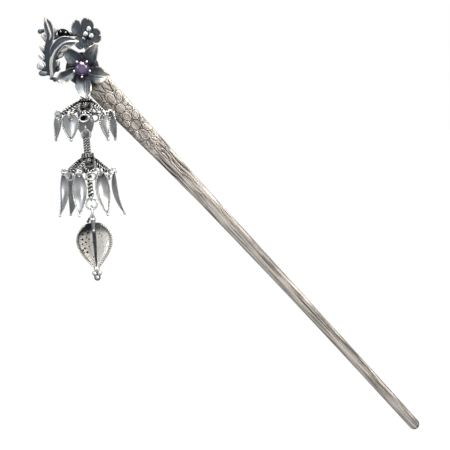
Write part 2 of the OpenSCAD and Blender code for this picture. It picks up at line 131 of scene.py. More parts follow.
def ridge(gap: Array, half: float | Array) -> Array:
    """1 on a line, less beside it: the exponential of minus the square of the gap over the half width."""
    return np.exp(-((gap / half) ** 2))


def pits(x: Array, y: Array, pitch: float, base: float) -> Array:
    """Rows of small dots: a sine along x times one along y, doubled, less the base, kept from 0 to 1."""
    return np.clip(wave(x, pitch) * wave(y, pitch) * 2 - base, 0, 1)


def leaf_half(u: Array, blunt: float, power: float) -> Array:
    """Round outline of a leaf, as a share of its half width.

    Formula: the sine of half a turn times (blunt + (1 - blunt) u) to the power, and that to the 0.85.

    Args:
        u: 0 at the root to 1 at the tip.
        blunt: how blunt the root is.
        power: below 1 moves the widest place towards the root.

    Returns:
        The half width's share, from 0 to 1.
    """
    inner = blunt + (1 - blunt) * np.minimum(u, 0.9999)
    return np.maximum(sine(180 * inner**power), 0) ** 0.85


def through(rows: Sequence[Sequence[float]], t: Array) -> Array:
    """Smooth curve through the rows of a table, each piece a Catmull-Rom cubic.

    Args:
        rows: the rows that the curve meets.
        t: places from 0 at the first row to 1 at the last.

    Returns:
        One row for each place.
    """
    table = np.asarray(rows, float)
    last = len(table) - 1
    place = np.clip(t, 0, 1) * last
    i = np.minimum(np.floor(place).astype(int), last - 1)
    f = (place - i)[:, None]
    p0, p1 = table[np.maximum(i - 1, 0)], table[i]
    p2, p3 = table[i + 1], table[np.minimum(i + 2, last)]
    return 0.5 * (
        2 * p1 + (p2 - p0) * f + (2 * p0 - 5 * p1 + 4 * p2 - p3) * f**2
        + (3 * p1 - p0 - 3 * p2 + p3) * f**3
    )


def even(path: Array, count: int, closed: bool) -> Array:
    """The same path with its places spread evenly along its length.

    Args:
        path: places along the path.
        count: how many places to give back.
        closed: whether it comes round to its first place.

    Returns:
        The evenly spread places; a closed path doesn't repeat its first.
    """
    points = np.vstack([path, path[:1]]) if closed else path
    run = np.concatenate([[0], np.cumsum(np.linalg.norm(np.diff(points, axis=0), axis=1))])
    where = np.linspace(0, run[-1], count + 1)[:-1] if closed else np.linspace(0, run[-1], count)
    return np.stack([np.interp(where, run, points[:, k]) for k in range(3)], axis=1)


def path_length(path: Array, closed: bool) -> float:
    """Length of a path of places."""
    points = np.vstack([path, path[:1]]) if closed else path
    return float(np.linalg.norm(np.diff(points, axis=0), axis=1).sum())


def tangents(path: Array, closed: bool) -> Array:
    """Direction of a path at each of its places, from its neighbours."""
    if closed:
        return unit(np.roll(path, -1, axis=0) - np.roll(path, 1, axis=0))
    return unit(np.gradient(path, axis=0))


# Frames


def shift(x: float, y: float, z: float) -> Array:
    """Matrix that moves by x, y and z."""
    return np.array([(1, 0, 0, x), (0, 1, 0, y), (0, 0, 1, z), (0, 0, 0, 1)], float)


def turn(axis: str, degrees: float) -> Array:
    """Matrix that turns about one of the axes.

    Args:
        axis: x, y or z.
        degrees: angle, by the right hand.

    Returns:
        The matrix, four by four.
    """
    c, s = math.cos(math.radians(degrees)), math.sin(math.radians(degrees))
    i, j = {"x": (1, 2), "y": (2, 0), "z": (0, 1)}[axis]
    m = np.eye(4)
    m[i, i] = m[j, j] = c
    m[i, j], m[j, i] = -s, s
    return m


# Lays what is drawn flat in x and y upright, facing the viewer, or edge-on to the viewer
FACE = turn("x", 90)
EDGE_ON = turn("z", 90) @ FACE


@dataclass(frozen=True)
class Frames:
    """Where the sub-assemblies stand, as in the part's source, in millimetres and degrees."""

    stone_x: float = -45.9
    stone_z: float = 56.5
    head_turn: float = -0.9
    shank_lean: float = 38.5
    string_x: float = -46.3
    string_front: float = 5.2

    def stone(self) -> Array:
        """Frame of the head: x right, y up and z towards the viewer, from the stone's axis."""
        return FACE @ shift(self.stone_x, self.stone_z, 0) @ turn("z", self.head_turn)

    def shank(self) -> Array:
        """Frame of the bar: x along it towards the tip, y across it and z towards the viewer."""
        return FACE @ turn("z", self.shank_lean - 90)

    def string(self, z: float, way: float) -> Array:
        """A height on the string, turned so that x looks outwards at the given way round."""
        return shift(self.string_x, -self.string_front, z) @ turn("z", way - 90)

    def tilted(self, z: float, tilt: float) -> Array:
        """A height on the string for a crown that leans with its left side up."""
        return shift(self.string_x, -self.string_front, z) @ turn("y", tilt) @ turn("z", -90)


FRAMES = Frames()


# Closed shapes


@dataclass
class Form:
    """A closed shape: its points in millimetres, its four-cornered faces and how dark each point is."""

    points: Array
    faces: Array
    dark: Array

    def placed(self, frame: Array) -> "Form":
        """The same shape moved by a frame's matrix."""
        return Form(self.points @ frame[:3, :3].T + frame[:3, 3], self.faces, self.dark)

    def toned(self, tone: float) -> "Form":
        """The same shape with some darkness added all over."""
        return Form(self.points, self.faces, np.clip(self.dark + tone, 0, 1))


def grid_faces(rows: int, columns: int, round_rows: bool = False, round_columns: bool = False) -> Array:
    """Faces between neighbouring points of a grid stored row by row.

    Args:
        rows: number of rows of points.
        columns: number of points in a row.
        round_rows: whether the last row joins the first.
        round_columns: whether the last point of a row joins the first.

    Returns:
        Four point numbers for each face.
    """
    i = np.arange(rows if round_rows else rows - 1)[:, None]
    j = np.arange(columns if round_columns else columns - 1)[None, :]
    i_next, j_next = (i + 1) % rows, (j + 1) % columns
    corners = [i * columns + j, i * columns + j_next, i_next * columns + j_next, i_next * columns + j]
    return np.stack([np.broadcast_to(c, (i.size, j.size)) for c in corners], -1).reshape(-1, 4)


def sealed(points: Array, faces: Array, dark: Array) -> Form:
    """Merges the points that fall on each other and points the faces outwards.

    The sign of the volume tells which way the faces look: a sum over the faces of the triple product of
    their corners, which is negative for a shape turned inside out.

    Args:
        points: all points, in millimetres.
        faces: four point numbers for each face.
        dark: darkness of each point.

    Returns:
        The closed shape.
    """
    _, first, back = np.unique(np.round(points, 4), axis=0, return_index=True, return_inverse=True)
    points, dark, faces = points[first], dark[first], back.reshape(-1)[faces]
    a, b, c, d = (points[faces[:, k]] for k in range(4))
    volume = np.einsum("ij,ij->", a, np.cross(b, c)) + np.einsum("ij,ij->", a, np.cross(c, d))
    return Form(points, faces if volume > 0 else faces[:, ::-1], dark)


def joined(forms: Sequence[Form]) -> Form:
    """Several shapes as one list of points and faces."""
    starts = np.cumsum([0] + [len(f.points) for f in forms[:-1]])
    return Form(
        np.vstack([f.points for f in forms]),
        np.vstack([f.faces + s for f, s in zip(forms, starts)]),
        np.concatenate([f.dark for f in forms]),
    )


def tube(
    path: Array,
    radius: float | Array,
    side: Array,
    sides: int,
    closed: bool = False,
    dark: float | Array = 0.0,
    flat: float = 1.0,
) -> Form:
    """A round profile carried along a path, with round ends where the path is open.

    Formula: place plus radius times (cosine of the angle along the side direction, sine along the
    direction square to it and to the path). At an open end the radius falls off as a quarter circle.

    Args:
        path: places of the middle line.
        radius: radius, or one for each place.
        side: direction, or one for each place, never along the path.
        sides: points round the profile.
        closed: whether it comes round to its first place.
        dark: darkness, one value, one for each place, or a grid of places by sides.
        flat: share that the profile is squeezed to, square to the side direction.

    Returns:
        The closed shape.
    """
    radius = np.broadcast_to(np.asarray(radius, float), (len(path),)).copy()
    side = np.broadcast_to(np.asarray(side, float), path.shape)
    dark = np.asarray(dark, float)
    dark = np.broadcast_to(dark[:, None] if dark.ndim == 1 else dark, (len(path), sides))
    t = tangents(path, closed)
    if not closed:
        fall = np.radians([0, 30, 60, 80])
        first = path[0] - np.outer(np.cos(fall), t[0]) * radius[0]
        last = path[-1] + np.outer(np.cos(fall), t[-1])[::-1] * radius[-1]
        path = np.vstack([first, path, last])
        t, side, dark = (np.vstack([np.repeat(a[:1], 4, 0), a, np.repeat(a[-1:], 4, 0)]) for a in (t, side, dark))
        radius = np.concatenate([np.sin(fall) * radius[0], radius, np.sin(fall)[::-1] * radius[-1]])
    a = unit(side - (side * t).sum(1, keepdims=True) * t)
    b = np.cross(t, a) * flat
    angle = 2 * np.pi * np.arange(sides) / sides
    round_about = np.cos(angle)[None, :, None] * a[:, None, :] + np.sin(angle)[None, :, None] * b[:, None, :]
    points = path[:, None, :] + radius[:, None, None] * round_about
    faces = grid_faces(len(path), sides, round_rows=closed, round_columns=True)
    return sealed(points.reshape(-1, 3), faces, dark.reshape(-1))


def oval_path(
    centre: Sequence[float], along: Sequence[float], across: Sequence[float], a: float, b: float, count: int
) -> Array:
    """Places round an oval: centre plus a times the cosine along and b times the sine across."""
    t = 2 * np.pi * np.arange(count) / count
    return (
        np.asarray(centre, float)
        + a * np.cos(t)[:, None] * np.asarray(along, float)
        + b * np.sin(t)[:, None] * np.asarray(across, float)
    )


def circle(radius: float, z: float, count: int) -> Array:
    """Places round a circle about the z axis, at a height."""
    return oval_path((0, 0, z), (1, 0, 0), (0, 1, 0), radius, radius, count)


def wire_ring(radius: float, wire: float, count: int, sides: int, dark: float) -> Form:
    """Plain ring of wire, flat in x and y about the origin."""
    return tube(circle(radius, 0, count), wire, (0, 0, 1), sides, closed=True, dark=dark)


def ball(centre: Sequence[float], radius: float, rows: int, sides: int, dark: float = 0.0) -> Form:
    """A ball, with its poles in the z direction.

    Formula: the cosine of the latitude times the cosine and the sine of the longitude, and the sine of
    the latitude, all times the radius.

    Args:
        centre: its middle.
        radius: its radius.
        rows: steps from pole to pole.
        sides: steps round it.
        dark: its darkness.

    Returns:
        The closed shape.
    """
    lat = np.linspace(-np.pi / 2, np.pi / 2, rows + 1)[:, None]
    lon = (2 * np.pi * np.arange(sides) / sides)[None, :]
    points = np.stack(
        [np.cos(lat) * np.cos(lon), np.cos(lat) * np.sin(lon), np.sin(lat) + 0 * lon], -1
    ) * radius + np.asarray(centre, float)
    faces = grid_faces(rows + 1, sides, round_columns=True)
    return sealed(points.reshape(-1, 3), faces, np.full((rows + 1) * sides, dark))


def respaced(path: Array, radius: float | Array, side: Array, count: int) -> tuple[Array, Array]:
    """Carries a radius and a side direction over to a new count of places.

    Args:
        path: the path that they belong to.
        radius: a radius, or one for each of its places.
        side: a direction, or one for each of its places.
        count: the new count of places.

    Returns:
        A radius and a direction for each new place.
    """
    old, new = np.linspace(0, 1, len(path)), np.linspace(0, 1, count)
    radius = np.interp(new, old, np.broadcast_to(np.asarray(radius, float), (len(path),)))
    side = np.broadcast_to(np.asarray(side, float), path.shape)
    return radius, np.stack([np.interp(new, old, side[:, k]) for k in range(3)], axis=1)


def twisted(
    path: Array,
    side: Array,
    spread: float | Array,
    pitch: float,
    closed: bool = False,
    sides: int = 8,
    per_turn: int = 12,
    phase: float = 0.0,
) -> Form:
    """Two wires twisted about a path like a rope.

    Formula: each strand runs at the spread's distance from the path, at an angle that grows by a whole
    turn for each pitch; its own radius is the spread as well, so the two touch. Each strand is dark all
    round but its outer crest, partly oxide between the strands and partly painted shade, so the crest
    reads as a painted highlight.

    Args:
        path: middle line of the rope.
        side: direction, or one for each place, never along the path.
        spread: distance of a strand's middle from the path, or one for each place.
        pitch: length of a whole turn.
        closed: whether it comes round to its first place.
        sides: points round a strand.
        per_turn: places along a strand for each turn.
        phase: angle of the first strand at the start, in turns.

    Returns:
        Both strands as one shape.
    """
    turns = max(path_length(path, closed) / pitch, 0.5)
    turns = round(turns) if closed else turns
    count = int(round(turns * per_turn)) + (0 if closed else 1)
    spread, side = respaced(path, spread, side, count)
    middle = even(path, count, closed)
    t = tangents(middle, closed)
    a = unit(side - (side * t).sum(1, keepdims=True) * t)
    b = np.cross(t, a)
    run = np.arange(count) / (count if closed else count - 1)
    # Oxide and painted shade: only the outer crest of each strand stays bright, as a painted highlight
    shade = ease(1.0, 0.5, np.cos(2 * np.pi * np.arange(sides) / sides))
    dark = np.broadcast_to(shade[None, :], (count, sides))
    strands = []
    for start in (0, 1 / 2):
        angle = 2 * np.pi * (run * turns + start + phase)
        away = np.cos(angle)[:, None] * a + np.sin(angle)[:, None] * b
        strands.append(tube(middle + spread[:, None] * away, spread, away, sides, closed, dark))
    return joined(strands)


def beaded(path: Array, side: Array, radius: float | Array, pitch: float, closed: bool = True) -> Form:
    """Wire rolled into a row of beads.

    Formula: the swell is the size of the sine of half a turn for each pitch, to the 0.6. The radius is
    the full one times half of one plus the swell, so it pinches between the beads, where it is also dark.

    Args:
        path: middle line of the wire.
        side: direction, or one for each place, never along the path.
        radius: radius of a bead, or one for each place.
        pitch: distance between beads.
        closed: whether it comes round to its first place.

    Returns:
        The closed shape.
    """
    beads = max(int(round(path_length(path, closed) / pitch)), 2)
    count = beads * 6 + (0 if closed else 1)
    radius, side = respaced(path, radius, side, count)
    middle = even(path, count, closed)
    run = np.arange(count) / (count if closed else count - 1)
    swell = np.abs(np.sin(np.pi * run * beads)) ** 0.6
    return tube(middle, radius * (0.5 + 0.5 * swell), side, 8, closed, 1 - ease(0.3, 0.95, swell))


def sheet(
    shape: Callable[[Array, Array], Array],
    thick: float,
    across_u: int,
    across_v: int,
    front: Callable[[Array, Array], tuple[Array, Array]],
    back_dark: float,
) -> Form:
    """Closed thin shell about a surface of two parameters, with round edges.

    Formula: the surface moved along its own normal by half the thickness on each side, times the root
    of one less the eighth power of the way to each edge, so both sides meet at the rim.

    Args:
        shape: surface of u from 0 at the root to 1 at the tip and v from -1 to 1 across.
        thick: thickness of the shell.
        across_u: number of steps along u.
        across_v: number of steps along v.
        front: extra height and darkness of the front side, of u and v.
        back_dark: darkness of the back side.

    Returns:
        The closed shape.
    """
    u, v = np.meshgrid(np.linspace(0, 1, across_u + 1), np.linspace(-1, 1, across_v + 1), indexing="ij")
    middle = shape(u, v)
    normal = unit(np.cross(np.gradient(middle, axis=0), np.gradient(middle, axis=1)))
    edge = np.sqrt(np.clip(1 - np.abs(v) ** 8, 0, 1) * np.clip(1 - np.abs(2 * u - 1) ** 14, 0, 1))
    lift, dark = front(u, v)
    over = middle + (edge * (thick / 2 + lift))[..., None] * normal
    under = middle - (edge * thick / 2)[..., None] * normal
    faces = grid_faces(across_u + 1, across_v + 1)
    points = np.vstack([over.reshape(-1, 3), under.reshape(-1, 3)])
    darks = np.concatenate([dark.reshape(-1), np.full(u.size, back_dark)])
    return sealed(points, np.vstack([faces, faces[:, ::-1] + u.size]), np.clip(darks, 0, 1))


# Finishes


def linear(hex_digits: str) -> tuple[float, float, float, float]:
    """An sRGB hex colour such as D9D4CC as linear red, green, blue and alpha."""
    c = np.array([int(hex_digits[i : i + 2], 16) / 255 for i in (0, 2, 4)])
    return (*np.where(c <= 0.04045, c / 12.92, ((c + 0.055) / 1.055) ** 2.4).tolist(), 1.0)


def add_node(tree: bpy.types.NodeTree, kind: str, settings: dict | None = None, **links: object) -> bpy.types.Node:
    """Adds one node with its settings and links.

    Args:
        tree: the node tree.
        kind: the node's type name, without the word ShaderNode before it.
        settings: attributes by name, and socket values by socket name or number.
        links: output sockets by the name of the input, with spaces as underscores, or in0, in1 and so on.

    Returns:
        The new node.
    """
    node = tree.nodes.new(f"ShaderNode{kind}")
    for name, value in (settings or {}).items():
        if isinstance(name, int) or name in node.inputs:
            node.inputs[name].default_value = value
        else:
            setattr(node, name, value)
    for name, source in links.items():
        key = int(name[2:]) if name[:2] == "in" and name[2:].isdigit() else name.replace("_", " ")
        tree.links.new(source, node.inputs[key])
    return node


def new_tree(name: str) -> tuple[Material, bpy.types.NodeTree]:
    """A new material with an empty node tree.

    Args:
        name: the material's name.

    Returns:
        The material and its tree.
    """
    material = bpy.data.materials.new(name)
    material.use_nodes = True
    material.node_tree.nodes.clear()
    return material, material.node_tree


@dataclass(frozen=True)
class SilverFinish:
    """Sterling silver, blackened in a sulphur bath and rubbed bright again on its high places.

    The eye gets a soft warm grey metal, blue-black where the rubbing didn't reach, with fine marks.
    The pieces' darkness that it reads also holds painted shade and painted highlights in places.
    Grain sizes are in millimetres. The real scratches are finer than a pixel of the render, so they are
    drawn as coarse as they need to show.
    """

    name: str
    bright: str
    cool: str
    dark: str
    rough_bright: float = 0.28
    rough_dark: float = 0.5
    mottle_mm: float = 1.6
    mottle: float = 0.16
    tint_mm: float = 4.0
    scratch_mm: float = 0.16
    scratch_stretch: tuple[float, float, float] = (1.0, 1.0, 1.0)
    scratch_turn: float = 0.0
    bump: float = 0.12
    # How far the scratches also change the darkness, as long streaks
    streak: float = 0.0

    def build(self) -> Material:
        """Makes the node tree: darkness from the piece's own attribute, broken up by noise in object space.

        Returns:
            The material.
        """
        material, tree = new_tree(self.name)
        where = add_node(tree, "TexCoord").outputs["Object"]
        mark = add_node(tree, "Attribute", {"attribute_name": "dark"}).outputs["Fac"]
        rotation = (0, math.radians(self.scratch_turn), 0)
        turned = add_node(
            tree, "Mapping",
            {"vector_type": "TEXTURE", "Rotation": rotation, "Scale": self.scratch_stretch}, Vector=where,
        ).outputs["Vector"]
        # Coordinates, grain in millimetres, detail and roughness of each noise
        grains = (
            (where, self.mottle_mm, 3.0, 0.6),
            (where, self.tint_mm, 1.0, 0.5),
            (turned, self.scratch_mm, 2.0, 0.5),
        )
        mottle, tint, marks = (
            add_node(
                tree, "TexNoise", {"Scale": 1 / (grain * MM), "Detail": detail, "Roughness": rough},
                Vector=place,
            ).outputs["Fac"]
            for place, grain, detail, rough in grains
        )
        half = self.mottle / 2
        spread = add_node(
            tree, "MapRange", {"From Min": 0.3, "From Max": 0.7, "To Min": -half, "To Max": half}, Value=mottle,
        ).outputs["Result"]
        # The mottle shows most where there is some darkness already
        near = add_node(tree, "Math", {"operation": "ADD", "use_clamp": True, 1: 0.25}, in0=mark).outputs[0]
        edge = add_node(tree, "Math", {"operation": "MULTIPLY"}, in0=spread, in1=near).outputs[0]
        along = add_node(
            tree, "MapRange",
            {"From Min": 0.35, "From Max": 0.65, "To Min": -self.streak / 2, "To Max": self.streak}, Value=marks,
        ).outputs["Result"]
        ink = mark
        for more in (edge, along):
            ink = add_node(tree, "Math", {"operation": "ADD", "use_clamp": True}, in0=ink, in1=more).outputs[0]
        ink = add_node(
            tree, "MapRange", {"interpolation_type": "SMOOTHSTEP", "From Min": -0.1, "From Max": 0.92},
            Value=ink,
        ).outputs["Result"]
        light = add_node(
            tree, "Mix", {"data_type": "RGBA", 6: linear(self.bright), 7: linear(self.cool)}, in0=tint,
        ).outputs[2]
        colour = add_node(
            tree, "Mix", {"data_type": "RGBA", 7: linear(self.dark)}, in0=ink, in6=light,
        ).outputs[2]
        rough = add_node(
            tree, "MapRange", {"To Min": self.rough_bright, "To Max": self.rough_dark}, Value=ink,
        ).outputs["Result"]
        rough = add_node(
            tree, "Math", {"operation": "MULTIPLY_ADD", 1: 0.12}, in0=marks, in2=rough,
        ).outputs[0]
        bump = add_node(
            tree, "Bump", {"Strength": self.bump, "Distance": 0.03 * MM}, Height=marks,
        ).outputs["Normal"]
        shader = add_node(
            tree, "BsdfPrincipled", {"Metallic": 1.0}, Base_Color=colour, Roughness=rough, Normal=bump,
        )
        add_node(tree, "OutputMaterial", Surface=shader.outputs["BSDF"])
        return material


@dataclass(frozen=True)
class StoneFinish:
    """Amethyst, a purple quartz cut with flat facets and polished clear."""

    name: str = "amethyst_cut_quartz"
    pale: str = "7E7290"
    deep: str = "512E66"

    def build(self) -> Material:
        """Makes the node tree: clear quartz, deep purple towards the girdle and pale over the table,
        where the reflection of a soft box is painted.

        Returns:
            The material.
        """
        material, tree = new_tree(self.name)
        mark = add_node(tree, "Attribute", {"attribute_name": "dark"}).outputs["Fac"]
        colour = add_node(
            tree, "Mix", {"data_type": "RGBA", 6: linear(self.pale), 7: linear(self.deep)}, in0=mark,
        ).outputs[2]
        shader = add_node(
            tree, "BsdfPrincipled",
            {"Metallic": 0.0, "Roughness": 0.05, "IOR": 1.544, "Transmission Weight": 0.6}, Base_Color=colour,
        )
        add_node(tree, "OutputMaterial", Surface=shader.outputs["BSDF"])
        return material


@dataclass(frozen=True)
class TableFinish:
    """Matt white acrylic of a light table that glows, with a soft shadow painted under the object."""

    name: str = "light_table_acrylic"
    # Glow under the object, dimmed as a painted shadow, and the full glow further out
    near: str = "B4B7BB"
    far: str = "FFFFFF"
    # Distances in metres over which the painted shadow fades into the full glow
    painted_shadow_fade_m: tuple[float, float] = (0.25, 0.75)

    def build(self) -> Material:
        """Makes the node tree: a glow that is dimmed under the object as a painted shadow and full further out.

        Returns:
            The material.
        """
        material, tree = new_tree(self.name)
        where = add_node(tree, "TexCoord").outputs["Object"]
        flat = add_node(tree, "VectorMath", {"operation": "MULTIPLY", 1: (1.0, 1.0, 0.0)}, in0=where)
        away = add_node(tree, "VectorMath", {"operation": "LENGTH"}, in0=flat.outputs[0])
        near, far = self.painted_shadow_fade_m
        share = add_node(
            tree, "MapRange", {"interpolation_type": "SMOOTHSTEP", "From Min": near, "From Max": far},
            Value=away.outputs["Value"],
        ).outputs["Result"]
        glow = add_node(
            tree, "Mix", {"data_type": "RGBA", 6: linear(self.near), 7: linear(self.far)}, in0=share,
        ).outputs[2]
        shader = add_node(
            tree, "BsdfPrincipled",
            {"Base Color": linear("202020"), "Roughness": 0.9, "Emission Strength": 1.0}, Emission_Color=glow,
        )
        add_node(tree, "OutputMaterial", Surface=shader.outputs["BSDF"])
        return material


@dataclass
class Finishes:
    """The materials of the whole object, each made once."""

    bar: Material
    head: Material
    petals: Material
    wire: Material
    drops: Material
    frosted: Material
    stone: Material

    @classmethod
    def make(cls) -> "Finishes":
        """Builds every finish."""
        return cls(
            # Matt warm grey, brushed along the bar, with long darker streaks
            bar=SilverFinish(
                "oxidised_silver_brushed_bar", bright="DAD1C7", cool="C7C0B9", dark="433F3D", rough_bright=0.46,
                rough_dark=0.6, mottle_mm=2.2, mottle=0.2, scratch_mm=0.5, scratch_stretch=(1.0, 1.0, 22.0),
                scratch_turn=-38.5, streak=0.34,
            ).build(),
            # Slate grey castings whose rims and lobes are rubbed to a warm silver
            head=SilverFinish(
                "oxidised_silver_cast_head", bright="D5CFC5", cool="C4C6C8", dark="4B525A", rough_bright=0.4,
                mottle_mm=1.2,
            ).build(),
            # Satin petals, slate in the middle and beige where they are rubbed; their bright rims are partly
            # painted highlight
            petals=SilverFinish(
                "oxidised_silver_satin_petals", bright="D0C9BE", cool="BCBBB8", dark="51565C", rough_bright=0.36,
                rough_dark=0.45, mottle_mm=1.4, mottle=0.2,
            ).build(),
            # Wire that is bright on its crests and nearly black between the strands, partly oxide and partly
            # painted shade
            wire=SilverFinish(
                "oxidised_silver_twisted_wire", bright="D2CCC2", cool="BFC4C9", dark="0C0E10", mottle_mm=1.0,
                mottle=0.3,
            ).build(),
            # Polished sheet that mirrors the soft boxes, dark along its rims; no bump, which would look grainy
            drops=SilverFinish(
                "polished_silver_sheet", bright="E2DDD6", cool="D3D8DE", dark="23272C", rough_bright=0.22,
                mottle=0.1, bump=0.0,
            ).build(),
            # Frosted pale leaf with fine grey mottling
            frosted=SilverFinish(
                "frosted_silver_leaf", bright="E9E4DC", cool="DDD8D0", dark="33373C", rough_bright=0.36,
                mottle_mm=0.7, mottle=0.24,
            ).build(),
            # Clear purple quartz, with a painted reflection of a soft box making the table paler
            stone=StoneFinish().build(),
        )


# Pieces


def new_object(name: str, data: bpy.types.ID) -> bpy.types.Object:
    """A new object that holds some data, linked to the scene.

    Args:
        name: the object's name.
        data: its mesh, light or camera.

    Returns:
        The object, at the origin.
    """
    made = bpy.data.objects.new(name, data)
    bpy.context.scene.collection.objects.link(made)
    return made


def make_mesh(name: str, form: Form, crease: float) -> bpy.types.Object:
    """Puts a closed shape into a mesh object that stands at the origin.

    Args:
        name: the piece's name.
        form: the shape, in millimetres.
        crease: angle in degrees above which an edge stays sharp.

    Returns:
        The new object, linked to the scene.
    """
    faces = form.faces
    kept = faces != np.roll(faces, -1, axis=1)
    sizes = kept.sum(1)
    kept[sizes < 3] = False
    sizes = sizes[sizes >= 3]
    corners = faces[kept]
    mesh = bpy.data.meshes.new(name)
    mesh.vertices.add(len(form.points))
    mesh.vertices.foreach_set("co", (form.points * MM).astype(np.float32).ravel())
    mesh.loops.add(len(corners))
    mesh.loops.foreach_set("vertex_index", corners.astype(np.int32))
    mesh.polygons.add(len(sizes))
    mesh.polygons.foreach_set("loop_start", np.concatenate([[0], np.cumsum(sizes)[:-1]]).astype(np.int32))
    mesh.polygons.foreach_set("use_smooth", np.ones(len(sizes), bool))
    mesh.update(calc_edges=True)
    mesh.validate()
    shade = mesh.attributes.new("dark", "FLOAT", "POINT")
    shade.data.foreach_set("value", form.dark.astype(np.float32))
    mesh.set_sharp_from_angle(angle=math.radians(crease))
    return new_object(name, mesh)


def add_piece(
    name: str,
    forms: Sequence[Form],
    material: Material,
    body: Body,
    replaces: Sequence[str] = (),
    crease: float = 60.0,
) -> bpy.types.Object:
    """Makes a finished piece and ties it to its body.

    Args:
        name: the piece's name.
        forms: closed shapes that make it up, in millimetres.
        material: its finish.
        body: the body that it rides on.
        replaces: nodes of the part that it stands for.
        crease: angle in degrees above which an edge stays sharp.

    Returns:
        The piece.
    """
    piece = make_mesh(name, joined(forms), crease)
    piece.data.materials.append(material)
    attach(piece, body.value)
    if replaces:
        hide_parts(*replaces)
    LOG.info("%s: %d faces on %s", name, len(piece.data.polygons), body.value)
    return piece


def dress_node(frame: dict, node: str, material: Material) -> None:
    """Gives a node of the part that stays its finish.

    Args:
        frame: the loaded frame.
        node: the node's name.
        material: its finish.
    """
    slots = frame["nodes"][node].data.materials
    slots.clear()
    slots.append(material)
    LOG.info("%s keeps its own mesh", node)


